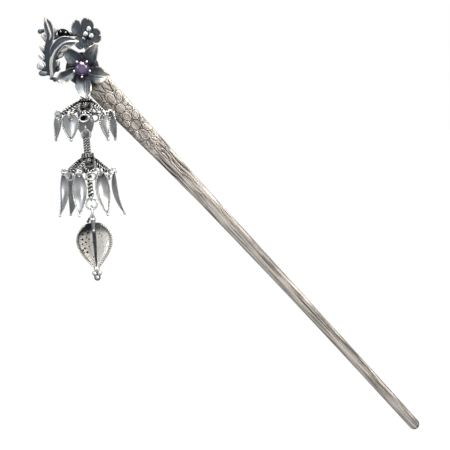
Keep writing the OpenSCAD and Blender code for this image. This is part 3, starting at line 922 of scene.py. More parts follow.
@dataclass
class Shank:
    """Flat tapering bar with an engraved front, a round end plate and a round tip. Millimetres."""

    tip: float = 94.8
    head: float = 72.8
    thick: float = 2.4
    bow: float = 0.6
    chord_shift: float = 0.78
    plate_r: float = 5.7
    end_r: float = 1.85
    # Place along and half width
    taper: tuple = (
        (-73, 4.6), (-57, 4.3), (-49, 3.8), (-28.6, 3.1), (-12, 2.6), (20, 2.25), (45, 2), (95, 1.85),
    )
    # Engraved ovals: place along, across, half length, half width, turn
    ovals: tuple = (
        (-58.65, -0.25, 2.55, 1.62, 4), (-57.45, 2.3, 2.33, 1.3, -36), (-57.2, -2.6, 2.13, 1.4, 29),
        (-54.4, 2.9, 1.5, 0.95, 95), (-52.6, 1.95, 1.5, 0.8, 45), (-53.5, -2.9, 1.4, 0.95, 80),
        (-50.5, -0.3, 1.85, 1.36, 7), (-49.0, 2.15, 1.78, 1.3, -35), (-48.9, -2.2, 1.6, 1.2, 23),
        (-43.4, 2.3, 1.87, 1.25, 22), (-42.1, -0.2, 2.28, 1.5, 0), (-43.4, -2.25, 1.7, 1.05, -27),
        (-46.2, -2.75, 1.15, 0.85, 90), (-46.2, 2.65, 1.1, 0.8, 90), (-51.4, -2.6, 1.2, 0.8, -30),
        (-38.4, 1.5, 1.5, 0.5, 24), (-38.2, 0.2, 1.6, 0.5, 4), (-38.6, -1.5, 1.5, 0.5, -22),
        (-35.8, 1.0, 1.3, 0.42, 14), (-35.6, -0.7, 1.4, 0.42, -10), (-33.2, 0.6, 1.1, 0.34, 8),
    )
    # Discs of the two engraved flowers: place along, across, radius
    discs: tuple = ((-54.1, -0.08, 1.75), (-46.4, -0.03, 1.75))
    # Cut strokes: from along, across, to along, across, half width
    strokes: tuple = (
        (-64.8, 0.9, -62.0, 0.3, 0.24), (-64.4, -1.8, -61.8, -0.3, 0.22), (-64.3, 2.3, -62.2, 2.8, 0.22),
        (-64.2, 3.8, -60.0, 2.0, 0.22), (-62.8, 1.0, -60.1, 1.9, 0.24), (-63.0, -1.8, -60.5, -2.3, 0.22),
        (-66.6, -2.6, -64.2, -1.9, 0.22), (-66.4, 0.0, -64.4, 0.9, 0.22), (-65.8, -3.9, -62.6, -3.3, 0.2),
        (-61.9, -3.9, -60.2, -3.3, 0.2), (-63.4, 4.3, -62.5, 3.7, 0.18), (-61.7, 4.1, -60.8, 3.6, 0.18),
        (-60.6, 4.0, -59.8, 3.8, 0.16), (-56.8, 4.1, -56.0, 3.5, 0.18), (-55.9, -3.9, -55.0, -3.2, 0.16),
        (-52.0, 3.6, -51.3, 2.9, 0.16), (-50.9, 3.5, -50.3, 3.0, 0.14), (-47.9, 3.3, -47.3, 2.6, 0.16),
        (-45.1, 3.5, -44.7, 2.9, 0.14), (-52.4, -3.6, -51.8, -3.2, 0.16), (-47.7, -3.3, -47.2, -2.7, 0.16),
        (-45.0, -3.3, -44.6, -2.7, 0.16), (-41.6, 3.0, -40.8, 2.2, 0.16), (-40.6, 2.9, -39.6, 1.9, 0.16),
        (-41.4, -2.9, -40.4, -2.0, 0.16), (-40.0, -2.8, -39.3, -2.1, 0.16), (-37.2, -2.7, -36.2, -1.7, 0.14),
        (-37.0, 2.6, -36.2, 1.8, 0.14), (-34.6, 2.4, -33.6, 1.5, 0.13), (-34.6, -2.4, -33.4, -1.4, 0.13),
    )
    ground_ends: tuple = (-61.0, -36.0)
    hatch_depth: float = 0.07
    groove_half: float = 0.16
    groove_depth: float = 0.1
    # An oval's inner line, as a share of the oval, and the least half width that has one
    inner_share: float = 0.55
    inner_least: float = 0.6
    # Pitch of the dots in an oval, the least half width that has them, and their pitch in a disc
    dot_pitch: float = 0.62
    dots_least: float = 1.3
    disc_pitch: float = 0.66
    grain_start: float = -36.0
    # Place along the bar up to which the painted shadow of the head is full; it fades out 3.5 further on
    head_shadow_from: float = -66.5
    # Stations: along the plate, over the engraving in fine steps, and along the plain part
    plate_stations: tuple = (-7.35, 3.0, 26)
    fine_stations: tuple = (-69.6, -31.5, 0.085)
    plain_start: float = -31.4
    plain_step: float = 0.45

    def bow_at(self, s: Array) -> Array:
        """Shift of the bar's middle line across it: a shallow arc less the chord's shift."""
        middle, half = (self.tip - self.head) / 2, (self.tip + self.head) / 2
        return self.bow * (1 - ((s - middle) / half) ** 2) - self.chord_shift

    def half(self, s: Array) -> Array:
        """Half width of the bar: the taper or the round plate, whichever is wider, rounded at the tip.

        Args:
            s: places along the bar.

        Returns:
            The half width at each.
        """
        d = s + self.head
        plate = np.sqrt(np.maximum(self.plate_r**2 - d**2, 0))
        places, widths = zip(*self.taper)
        bar = np.interp(s, places, widths) * np.clip((d + self.plate_r) / 6, 0, 1)
        e = np.clip((s - self.tip + self.end_r) / self.end_r, 0, 1)
        return np.maximum(np.maximum(plate, bar), 0.5) * np.sqrt(1 - e * e)

    def engraving(self, s: Array, w: Array) -> tuple[Array, Array]:
        """Height and darkness of the engraved face.

        Formula: each outline is a groove whose depth falls off as the exponential of minus the square
        of the distance over the groove's half width; between the ovals the ground is hatched and lower.

        Args:
            s: places along the bar.
            w: places across it, from its middle line.

        Returns:
            Height in millimetres and darkness from 0 to 1.
        """
        height, dark = np.zeros_like(s), np.zeros_like(s)
        inside_disc, ground = np.zeros_like(s), np.ones_like(s)
        for place, across, radius in self.discs:
            r = np.hypot(s - place, w - across)
            inside_disc = np.maximum(inside_disc, ease(radius + 0.05, radius - 0.15, r))
        for place, across, a, b, angle in self.ovals:
            c, sn = math.cos(math.radians(angle)), math.sin(math.radians(angle))
            x, y = c * (s - place) + sn * (w - across), -sn * (s - place) + c * (w - across)
            rho = np.maximum(np.hypot(x / a, y / b), 1e-3)
            ground = ground * ease(0.9, 1.1, rho)
            line = ridge(np.hypot(x, y) * (1 - 1 / rho), self.groove_half) * (1 - inside_disc)
            inner = ridge(np.hypot(x, y) * (1 - self.inner_share / rho), 0.75 * self.groove_half)
            inner = inner * (b > self.inner_least) * (1 - inside_disc)
            dots = pits(x, y, self.dot_pitch, 0.7) * ease(0.5, 0.35, rho)
            dots = dots * (b > self.dots_least) * (1 - inside_disc)
            height = height - self.groove_depth * (line + 0.6 * inner + 0.5 * dots)
            dark = np.maximum.reduce([dark, 0.8 * line, 0.62 * inner, 0.6 * dots])
        for place, across, radius in self.discs:
            x, y = s - place, w - across
            r = np.hypot(x, y)
            rim = ridge(r - radius, self.groove_half)
            dots = pits(x, y, self.disc_pitch, 0.5) * ease(0.95, 0.8, r / radius)
            height = height - self.groove_depth * (rim + 0.6 * dots)
            dark = np.maximum.reduce([dark, 0.8 * rim, 0.7 * dots])
        for s0, w0, s1, w1, half in self.strokes:
            run = np.array([s1 - s0, w1 - w0])
            t = np.clip(((s - s0) * run[0] + (w - w0) * run[1]) / (run @ run), 0, 1)
            gap = np.hypot(s - s0 - t * run[0], w - w0 - t * run[1])
            width = half * (0.45 + 0.55 * np.sin(np.pi * (0.15 + 0.7 * t)))
            cut = ridge(gap, width)
            height = height - self.groove_depth * cut
            dark = np.maximum(dark, 0.85 * cut)
        hatch = stripe(0.75 * s + 0.9 * np.abs(w), 2)
        ground = ground * (1 - inside_disc) * ease(self.ground_ends[0] - 3, self.ground_ends[0], s)
        ground = ground * ease(self.ground_ends[1] + 2, self.ground_ends[1] - 2, s)
        height = height - self.hatch_depth * ground * (0.5 + 0.5 * hatch)
        return height, np.maximum(dark, ground * (0.1 + 0.36 * hatch))

    def grain(self, s: Array, w: Array, half: Array) -> tuple[Array, Array]:
        """Furrows of the plain part, which run along it like the grain of wood.

        Formula: across, the share of the half width is bent by slow waves of the place along; a cosine of
        it gives the furrows, sharpened by a power. A second slow wave lets them come and go, and they are
        deepest in the stretch just after the engraving. Far along, a dark seam runs above the middle.
        The waves' lengths are in millimetres along the bar.

        Args:
            s: places along the bar.
            w: places across it.
            half: half width of the bar there.

        Returns:
            Height in millimetres and darkness from 0 to 1.
        """
        share = w / half
        start = ease(self.grain_start - 2, self.grain_start + 3, s + 2.5 * share)
        far, deep = ease(-10, 12, s), ease(-18, -24, s)
        bend = 0.1 * wave(s, 29, 1.1) + 0.07 * (1 - far) * wave(s, 13, 4 * share)
        knots = 0.16 * (1 - far) * wave(s, 7.3, 2.2 * np.sin(s / 9)) * ridge(share - 0.1, 0.3)
        furrow = stripe((2.6 - 0.7 * far) * (share + bend + knots), 4)
        fine = (1 - far) * stripe(4.3 * (share + 0.7 * bend) + 0.21, 3)
        come = 0.5 + 0.5 * wave(s, 17, 3.5 * share + 0.6)
        other = 0.5 + 0.5 * wave(s, 11, 2.4 - 5 * share)
        furrow, fine = furrow * (0.3 + 0.7 * np.maximum(come, deep)), 0.75 * fine * np.maximum(other, deep)
        cut = np.maximum(furrow, fine) * start
        seam = ridge(share - 0.14 - 0.08 * wave(s, 70), 0.09) * (0.6 + 0.4 * wave(s, 37, 1))
        band = far * np.maximum(0.4 * ease(0.0, 0.35, share), 0.75 * seam)
        return -0.08 * cut * (1 - 0.5 * far), np.maximum(band, cut * (0.62 + 0.3 * deep - 0.15 * far))

    def form(self) -> Form:
        """The bar: rounded boxes across, from station to station along.

        Formula: across, half width times the cosine to the 0.8; towards the viewer, half thickness
        times the sine to the 0.7; the engraving and the grain are added to the front.

        Returns:
            The closed bar in its place.
        """
        plate = np.linspace(*self.plate_stations) - self.head
        engraved = np.arange(*self.fine_stations)
        plain = np.arange(self.plain_start, self.tip - self.end_r, self.plain_step)
        end = self.tip - self.end_r * (1 - np.sin(np.linspace(0, np.pi / 2, 12)))
        s = np.concatenate([plate, engraved, plain, end])
        r = np.linspace(-1, 1, 121)
        q = 0.55 * r + 0.45 * np.sin(np.pi * r / 2)
        front = np.arccos(np.clip(signed(q, 1 / 0.8), -1, 1))[::-1]
        back = 2 * np.pi - np.arccos(np.clip(np.sin(np.pi / 2 * np.linspace(-1, 1, 33)), -1, 1))[1:-1]
        t = np.concatenate([front, back])
        s_grid, t_grid = np.meshgrid(s, t, indexing="ij")
        half = self.half(s)[:, None]
        h = self.thick / 2 * (0.45 + 0.55 * np.minimum(half / 1.6, 1))
        w = half * signed(np.cos(t_grid), 0.8)
        z = h * signed(np.sin(t_grid), 0.7)
        face = ease(0.0, 0.55, np.sin(t_grid))
        cut_h, cut_d = self.engraving(s_grid, w)
        grain_h, grain_d = self.grain(s_grid, w, half + 0 * t_grid)
        z = z + face * (cut_h + grain_h)
        # Painted shadow of the head on the bar next to it, over a light even darkness
        tone_and_head_shadow = 0.12 + 0.8 * ease(self.head_shadow_from + 3.5, self.head_shadow_from, s_grid + 0.5 * np.abs(w))
        dark = face * np.maximum(np.maximum(cut_d, grain_d), tone_and_head_shadow) + 0.2 * (1 - face)
        points = np.stack([s_grid, self.bow_at(s_grid) + w, z], -1)
        faces = grid_faces(len(s), len(t), round_columns=True)
        return sealed(points.reshape(-1, 3), faces, dark.reshape(-1)).placed(FRAMES.shank())

    def build(self, finishes: Finishes) -> None:
        """Makes the bar's piece."""
        add_piece("engraved_bar", [self.form()], finishes.bar, Body.PIN, ["pin"])


@dataclass(frozen=True)
class Petal:
    """One petal: its two edges from root to tip and how it lies. Millimetres."""

    # Right and up from the stone's axis; the first edge is the one further round clockwise
    first: tuple
    second: tuple
    base: float
    rise: float
    tip: float
    lift_first: float
    lift_second: float
    bright_from: float
    rub_and_highlight_first: float
    rub_and_highlight_second: float
    bulge: float = 0.3
    notch: float = 0.0

    def form(self, thick: float, streaks: float, torn: float, seed: float) -> Form:
        """The closed petal.

        Formula: across, a straight blend of the two edges, pushed out at the tip by the bulge times
        (1 - v squared) less the notch; the height is the base plus the rise times a sine along the
        petal, the tip's lift times u squared, each edge's lift times v squared times a sine, and waves.

        Args:
            thick: thickness.
            streaks: number of fine streaks across.
            torn: how far the tip's edge goes in and out.
            seed: angle in degrees that sets the petal's waves apart.

        Returns:
            The petal in the stone's frame.
        """

        def shape(u: Array, v: Array) -> Array:
            """Middle surface of the petal.

            Args:
                u: 0 at the root to 1 at the tip.
                v: -1 at the first edge to 1 at the second.

            Returns:
                Places right, up and towards the viewer.
            """
            a, b = (through(rows, u[:, 0])[:, None, :] for rows in (self.first, self.second))
            share = ((1 + v) / 2)[..., None]
            flat = a * (1 - share) + b * share
            out = unit(np.add(self.first[-1], self.second[-1]) - np.add(self.first[0], self.second[0]))
            ragged = torn * (0.6 * sine(1100 * v + seed) + 0.4 * sine(2300 * v + 2 * seed))
            push = (self.bulge * (1 - v**2) - self.notch * ridge(v, 0.3) + ragged) * u**6
            lift = np.where(v < 0, self.lift_first, self.lift_second) * v**2 * sine(150 * u)
            waves = 0.16 * sine(620 * u + seed) * v**2 + 0.08 * sine(1500 * u + 2 * seed) * v**4
            z = self.base + self.rise * sine(140 * u) + self.tip * u**2 + lift + waves
            return np.concatenate([flat + push[..., None] * out, z[..., None]], -1)

        def front(u: Array, v: Array) -> tuple[Array, Array]:
            """Fine streaks that run along the petal and come and go, with a groove along the middle.

            The root is dark; further out the petal is rubbed bright, and its rims are rubbed bright with a
            painted highlight on top, stronger on an edge that faces the light.

            Args:
                u: 0 at the root to 1 at the tip.
                v: -1 at the first edge to 1 at the second.

            Returns:
                Height in millimetres and darkness from 0 to 1.
            """
            across = v + 0.13 * sine(250 * v + 3 * seed) + 0.05 * sine(260 * u + 2 * seed)
            first = np.cos(2 * np.pi * streaks * across + 1.6 * sine(150 * u + seed))
            second = np.cos(2 * np.pi * 1.6 * streaks * across + 2.5 * sine(220 * u + seed))
            come = 0.5 + 0.5 * sine(400 * u + 330 * v + 5 * seed)
            streak = 0.5 + 0.3 * first * (0.45 + 0.55 * come) + 0.2 * second * (1 - 0.6 * come)
            height = 0.07 * streak * ease(0.05, 0.5, u) - 0.1 * ridge(v, 0.1) * ease(0.95, 0.6, u)
            # Rims rubbed bright, with a painted highlight on top; its strength is given for each edge
            rim_rub_and_highlight = np.where(v < 0, self.rub_and_highlight_first, self.rub_and_highlight_second)
            rim = np.clip(ease(0.9, 0.99, np.abs(v)) * ease(0.25, 0.5, u) + ease(0.955, 1, u), 0, 1)
            rubbed = ease(self.bright_from, self.bright_from + 0.5, u + 0.1 * streak) * (0.5 + 0.5 * streak)
            return height, np.clip(0.96 - 0.85 * rubbed - 0.85 * rim_rub_and_highlight * rim - 0.1 * streak, 0.04, 1)

        return sheet(shape, thick, 64, 72, front, back_dark=0.6).placed(FRAMES.stone())


@dataclass
class BigFlower:
    """Five wavy petals about the stone, dark in the middle, with streaks. Millimetres."""

    thick: float = 0.5
    streaks: float = 4.6
    torn: float = 0.2
    # Upper right, right, bottom, lower left, upper left; each with its edges and then Petal's numbers in order
    petals: tuple = (
        Petal(
            ((2.5, 0.5), (3.9, 0.6), (4.9, 2.2), (5.5, 4.1), (6, 6), (6.4, 7.7)),
            ((0, 1.3), (0.9, 3.6), (0.8, 4.8), (1.6, 6.2), (2.9, 7.2), (4.4, 7.9)),
            2.2, 0.9, 1.4, 1.6, 1.1, 0.5, 0.9, 0.5, 0.1,
        ),
        Petal(
            ((1.1, -2), (2.4, -4.2), (3.7, -5), (5.5, -5.3), (7.3, -4.6), (8.9, -3.1)),
            ((1.3, 1.2), (3.3, 0.2), (4.8, 0.4), (6.4, 0.1), (7.5, -1.2), (8.9, -2.5)),
            2.2, 1.2, 0.1, 1.0, 1.2, 0.4, 0.8, 0.7,
        ),
        Petal(
            ((-1.6, -1.5), (-2.4, -4.1), (-2.6, -6.1), (-1.9, -7.8), (-0.9, -9.3), (0.3, -9.9)),
            ((1.1, -1.9), (2.4, -3.9), (2.9, -5.9), (2.6, -7.8), (2.1, -9.4), (1.3, -10.1)),
            2.2, 3.2, 3.55, 0.8, 1.1, 0.42, 0.3, 0.9,
        ),
        Petal(
            ((-2.1, 1), (-4.2, 0.4), (-6.3, -0.4), (-7.7, -0.9), (-8.5, -2), (-8.8, -3.1)),
            ((-1.5, -2.3), (-2.7, -3), (-4.1, -3.7), (-5.6, -4.3), (-7.3, -4.4), (-8.6, -3.7)),
            2.2, 1, 0.7, 1.2, 1.3, 0.5, 0.6, 0.9,
        ),
        Petal(
            ((0.5, 1.7), (0.2, 4.2), (-0.9, 5.6), (-2.3, 6.5), (-3.5, 7.1), (-4.6, 6.5)),
            ((-2.1, 0.8), (-3.8, 1), (-4.8, 2.2), (-5.4, 3.3), (-5.8, 4.5), (-5.9, 5.2)),
            2.2, 0.8, 0.1, 1.4, 1.0, 0.85, 0.9, 0.5,
        ),
    )

    def build(self, finishes: Finishes) -> None:
        """Makes the five petals and the boss under them.

        Args:
            finishes: the object's materials.
        """
        forms = [petal.form(self.thick, self.streaks, self.torn, 77.0 * k) for k, petal in enumerate(self.petals)]
        # The boss is painted fully dark: it stands for the shade seen in the gaps between the petals
        boss = np.array([(0, 0, 0.8), (0, 0, 1.9), (0, 0, 2.9)])
        forms.append(tube(boss, np.array([2.9, 2.5, 2.0]), (1, 0, 0), 24, dark=1.0).placed(FRAMES.stone()))
        add_piece("big_flower", forms, finishes.petals, Body.PIN)


@dataclass
class Bloom:
    """Small flower of five round petals with three granules. Millimetres."""

    thick: float = 0.5
    streaks: float = 3.5
    torn: float = 0.04
    granule_r: float = 0.95
    granule_front: float = 3.9
    # Top, upper left, lower left, bottom, right; each with its edges and then Petal's numbers in order
    petals: tuple = (
        Petal(
            ((3, 11.3), (4.2, 12.2), (4.8, 13.7), (4.8, 15.1), (4, 16.2)),
            ((1.3, 11.1), (0.7, 12.9), (0.5, 14.9), (0.8, 16.3), (1.7, 17)),
            2.0, 0.3, 1.3, 0.4, 0.3, 1.2, 0.7, 0.5, 0.5, 0.35,
        ),
        Petal(
            ((1.3, 10.9), (0.8, 12.9), (0.5, 14.8), (0.1, 16.1), (-0.9, 16.6)),
            ((0.2, 10.4), (-1.2, 11.2), (-2.4, 12.1), (-2.9, 13.6), (-2.3, 15.3)),
            1.9, 0.3, 1.3, 0.3, 0.6, 1.1, 0.5, 0.9, 0.4, 0.3,
        ),
        Petal(
            ((0.2, 10.8), (-1.6, 10.9), (-2.3, 9.5), (-1.8, 8)),
            ((1.6, 9.7), (1.3, 8.2), (0.8, 6.9), (-0.2, 6.5)),
            1.8, 0.2, 0.5, 0.3, 0.3, 1.2, 0.5, 0.3, 0.3,
        ),
        Petal(
            ((1.3, 9.9), (0.9, 8.4), (1, 7), (1.6, 6.1)), ((3.2, 10), (4.2, 9.1), (4.4, 7.8), (3.2, 6.6)),
            1.8, 0.3, 0.5, 0.3, 0.5, 1.1, 0.4, 0.5, 0.4,
        ),
        Petal(
            ((3.3, 10), (4.5, 8.6), (5.8, 8.4), (6.8, 9.1), (6.8, 10.2)),
            ((3.7, 12.3), (4.4, 13.2), (5.5, 13.5), (6.5, 12.9), (6.7, 11.9)),
            2.0, 0.3, 0.9, 0.5, 0.4, 0.9, 0.9, 0.5, 0.3, 0.6,
        ),
    )
    granules: tuple = ((3.1, 13.3), (1.9, 11.7), (3.8, 10.9))

    def build(self, finishes: Finishes) -> None:
        """Makes the petals, the boss and the granules.

        Args:
            finishes: the object's materials.
        """
        seeds = 50 + 61.0 * np.arange(len(self.petals))
        forms = [petal.form(self.thick, self.streaks, self.torn, seed) for petal, seed in zip(self.petals, seeds)]
        # The boss is painted fully dark: it stands for the shade seen in the gaps between the petals
        boss = np.array([(2.7, 11.6, 0.9), (2.7, 11.6, 1.8), (2.7, 11.6, 3.1)])
        forms.append(tube(boss, np.array([2.0, 1.9, 1.3]), (1, 0, 0), 20, dark=1.0).placed(FRAMES.stone()))
        add_piece("small_flower", forms, finishes.petals, Body.PIN)
        grains = [
            ball((x, y, self.granule_front), self.granule_r, 14, 22).placed(FRAMES.stone())
            for x, y in self.granules
        ]
        add_piece("flower_granules", grains, finishes.drops, Body.PIN)


@dataclass
class Scrolls:
    """Two scrolled leaves with a midrib and raised rims, and the rounded lobes beside them. Millimetres."""

    # Midrib from root to tip: right, up, front, width to its left, width to its right
    leaf_a: tuple = (
        (-10.5, -2.3, 0.9, 0.6, 0.3), (-10.9, 0.8, 1.2, 1.3, 0.6), (-11.3, 4.1, 1.4, 1.3, 1.1),
        (-11.2, 7.3, 1.7, 1.2, 1.3), (-10.6, 10, 2, 1.3, 1.3), (-10, 11.8, 2.3, 1.6, 1.3),
        (-10.4, 13.8, 2.7, 1.7, 1.6), (-10.9, 15.8, 3.1, 1.3, 1.6), (-11.4, 17.2, 3.6, 0.6, 0.9),
        (-11.9, 18, 3.9, 0.1, 0.1),
    )
    leaf_b: tuple = (
        (-10.6, -2.5, 1.6, 0.5, 0.4), (-10.6, -0.2, 2, 0.5, 1.5), (-10.5, 1.9, 2.4, 0.6, 1.7),
        (-9.9, 4.2, 2.8, 0.9, 1.4), (-8.8, 6.3, 3.2, 2, 1.3), (-7.4, 7.8, 3.6, 2.4, 1.2),
        (-5.7, 9, 3.9, 2.4, 1.2), (-3.7, 9.4, 4.1, 1.8, 1.9), (-2, 9.3, 4.1, 1, 1.1), (-0.3, 9.4, 3.9, 0.1, 0.1),
    )
    # Lobes: right, up, front, half length, half width, way it points, darkness
    lobes: tuple = (
        (-13.3, 13.5, 2.2, 0.94, 0.72, 190, 0.8), (-12.2, 11.3, 1.9, 1.4, 0.72, 120, 0),
        (-13, 7.6, 1.9, 1.32, 0.81, 115, 0), (-13.4, 4.6, 1.8, 1.57, 0.68, 132, 0),
        (-13.9, 1.6, 1.9, 1.4, 1.23, 140, 0.1), (-13.1, -0.8, 1.5, 1.74, 0.85, 175, 0.65),
        (-10.5, -2.7, 1.2, 0.81, 0.47, 170, 0.7), (-8.3, 13.6, 2.3, 1.1, 0.81, 70, 0),
        (-5.8, 6.8, 3.2, 2.04, 0.94, 25, 0), (-7.2, 4.8, 2.8, 1.28, 0.72, 28, 0),
        (-8.1, 2.1, 2.3, 1.15, 0.64, 80, 0.1), (-8, 0.4, 1.9, 0.55, 0.47, 20, 0.5),
    )
    # How much fuller than its row says a lobe is, in length and in width, and how far its stalk reaches
    fuller: tuple = (1.08, 1.12)
    foot: float = 0.9
    rim_half: float = 0.36
    # Dark dome: its place, radius, the shares that it is stretched to, its turn and its two light dots
    dome_at: tuple = (-5.6, 12.2, 1.5)
    dome_r: float = 1.75
    dome_shares: tuple = (1.25, 0.95, 0.8)
    dome_turn: float = -25.0
    dome_dots: tuple = ((-0.9, 0.8, 1.02), (0.75, 0.4, 1.02))
    # Limbs that carry what stands away from the bar: from and to
    branches: tuple = (
        ((2.6, 3, 0.2), (3.6, 11.4, 0.9)), ((2.2, 11.6, 0.9), (-5.6, 12, 0.9)),
        ((-5.6, 12, 0.9), (-10.4, 10.6, 1.4)), ((-5, -2.5, 0), (-9.6, -3.2, 1.2)),
    )

    def ribbed(self, rows: tuple, rib_from: float, rib_foot: float) -> Form:
        """One leaf, from root to tip.

        Formula: across, the distance d from the midrib runs to the width of that side. The front rises
        by the exponential of minus the square of d over the rib's width, and in the same way from each
        rim, with a hollow channel between, darkest at the foot of the ridges.

        Args:
            rows: right, up, front, width to the left and width to the right, from root to tip.
            rib_from: share of the length where the midrib starts to show.
            rib_foot: half width of the midrib at the root.

        Returns:
            The closed leaf.
        """
        count, per_side = 110, 60
        t = np.linspace(0, 1, count)
        p = through(rows, t)
        q = through(rows, np.minimum(t + 0.01, 1)) - through(rows, np.maximum(t - 0.01, 0))
        along = unit(q[:, :2])
        side = np.stack([-along[:, 1], along[:, 0], 0 * t], 1)
        v = np.linspace(1, -1, per_side)[None, :]
        width = np.maximum(np.where(v > 0, p[:, 3:4], p[:, 4:5]), 0.08)
        d = np.abs(v) * width
        rib_half = (rib_foot + (0.4 - rib_foot) * ease(0, 0.6, t))[:, None]
        rib = ridge(d, rib_half) * ease(rib_from, rib_from + 0.12, t)[:, None]
        rim = ridge(width - d, self.rim_half) * (0.35 + 0.65 * ease(0.3, 0.55, t))[:, None]
        crest = np.clip(rib + rim, 0, 1)
        middle = np.sin(np.pi * np.abs(v)) ** 2
        edge = np.sqrt(np.clip(1 - v**10, 0, 1))
        fade = np.clip(np.minimum(t / 0.03, (1 - t) / 0.03), 0.05, 1)[:, None]
        front_z = (0.3 + 0.5 * crest * np.minimum(width, 1) + 0.12 * width * v**2) * edge * fade
        back_z = -(0.3 + 0.3 * width * (1 - v**2)) * edge * fade
        flat = p[:, None, :3] + side[:, None, :] * (v * width)[..., None]
        outwards = np.array([0, 0, 1.0])
        front = flat + outwards * front_z[..., None]
        back = (flat + outwards * back_z[..., None])[:, ::-1]
        grid = np.concatenate([front, back[:, 1:-1]], axis=1)
        ink = (1 - ease(0.3, 0.75, crest)) * (1 - 0.3 * middle * ease(0.35, 0.7, t)[:, None])
        dark = np.concatenate([ink, np.full((count, per_side - 2), 0.6)], axis=1)
        first, last = (np.broadcast_to(row.mean(0), row.shape)[None] for row in (grid[0], grid[-1]))
        grid = np.concatenate([first, grid, last])
        dark = np.concatenate([dark[:1], dark, dark[-1:]])
        faces = grid_faces(len(grid), grid.shape[1], round_columns=True)
        return sealed(grid.reshape(-1, 3), faces, dark.reshape(-1)).placed(FRAMES.stone())

    def lobe(self, row: tuple) -> Form:
        """One rounded lobe: an egg whose blunt end points away from the leaf, with painted shade at its foot.

        Formula: a tube whose radius is the width times the root of one less t squared, times one plus a
        fifth of t, for t from -1 at the foot to 1.

        Args:
            row: the lobe's row of numbers.

        Returns:
            The egg and its stalk in the stone's frame.
        """
        right, up, front, half, wide, way, ink = row
        half, wide = self.fuller[0] * half, self.fuller[1] * wide
        t = np.linspace(-1, 1, 20)
        radius = wide * np.sqrt(np.clip(1 - t**2, 0.002, 1)) * (1 + 0.2 * t)
        path = np.stack([half * t, 0 * t, -0.25 * (1 - t)], 1)
        # Painted shade at the foot, where the lobe tucks into the leaf; the stalk under it is painted fully dark
        # as shade
        egg = tube(path, radius, (0, 1, 0), 20, dark=np.maximum(ink, 0.95 * ease(-0.2, -0.9, t)), flat=0.8)
        foot = np.linspace((-half - self.foot, 0, -0.7), (-0.2 * half, 0, -0.3), 8)
        stalk = tube(foot, np.linspace(0.6, 0.85 * wide, 8), (0, 1, 0), 14, dark=1.0, flat=0.75)
        return joined([egg, stalk]).placed(FRAMES.stone() @ shift(right, up, front) @ turn("z", way))

    def build(self, finishes: Finishes) -> None:
        """Makes the leaves, the lobes, the dome and the branches.

        Args:
            finishes: the object's materials.
        """
        leaves = [self.ribbed(self.leaf_a, 0.4, 0.2), self.ribbed(self.leaf_b, -0.2, 0.78)]
        add_piece("scrolled_leaves", leaves, finishes.head, Body.PIN)
        add_piece("leaf_lobes", [self.lobe(row) for row in self.lobes], finishes.head, Body.PIN)
        limbs = [
            tube(np.linspace(a, b, 6), 0.72, (0, 0, 1), 14, dark=0.95).placed(FRAMES.stone())
            for a, b in self.branches
        ]
        add_piece("branches", limbs, finishes.head, Body.PIN)
        at = FRAMES.stone() @ shift(*self.dome_at)
        dome = ball((0, 0, 0), self.dome_r, 18, 28, dark=1.0)
        dome = Form(dome.points * np.array(self.dome_shares), dome.faces, dome.dark)
        dots = [ball(place, 0.33, 8, 12).placed(at) for place in self.dome_dots]
        forms = [dome.placed(at @ turn("z", self.dome_turn)), *dots]
        add_piece("dark_dome", forms, finishes.wire, Body.PIN)


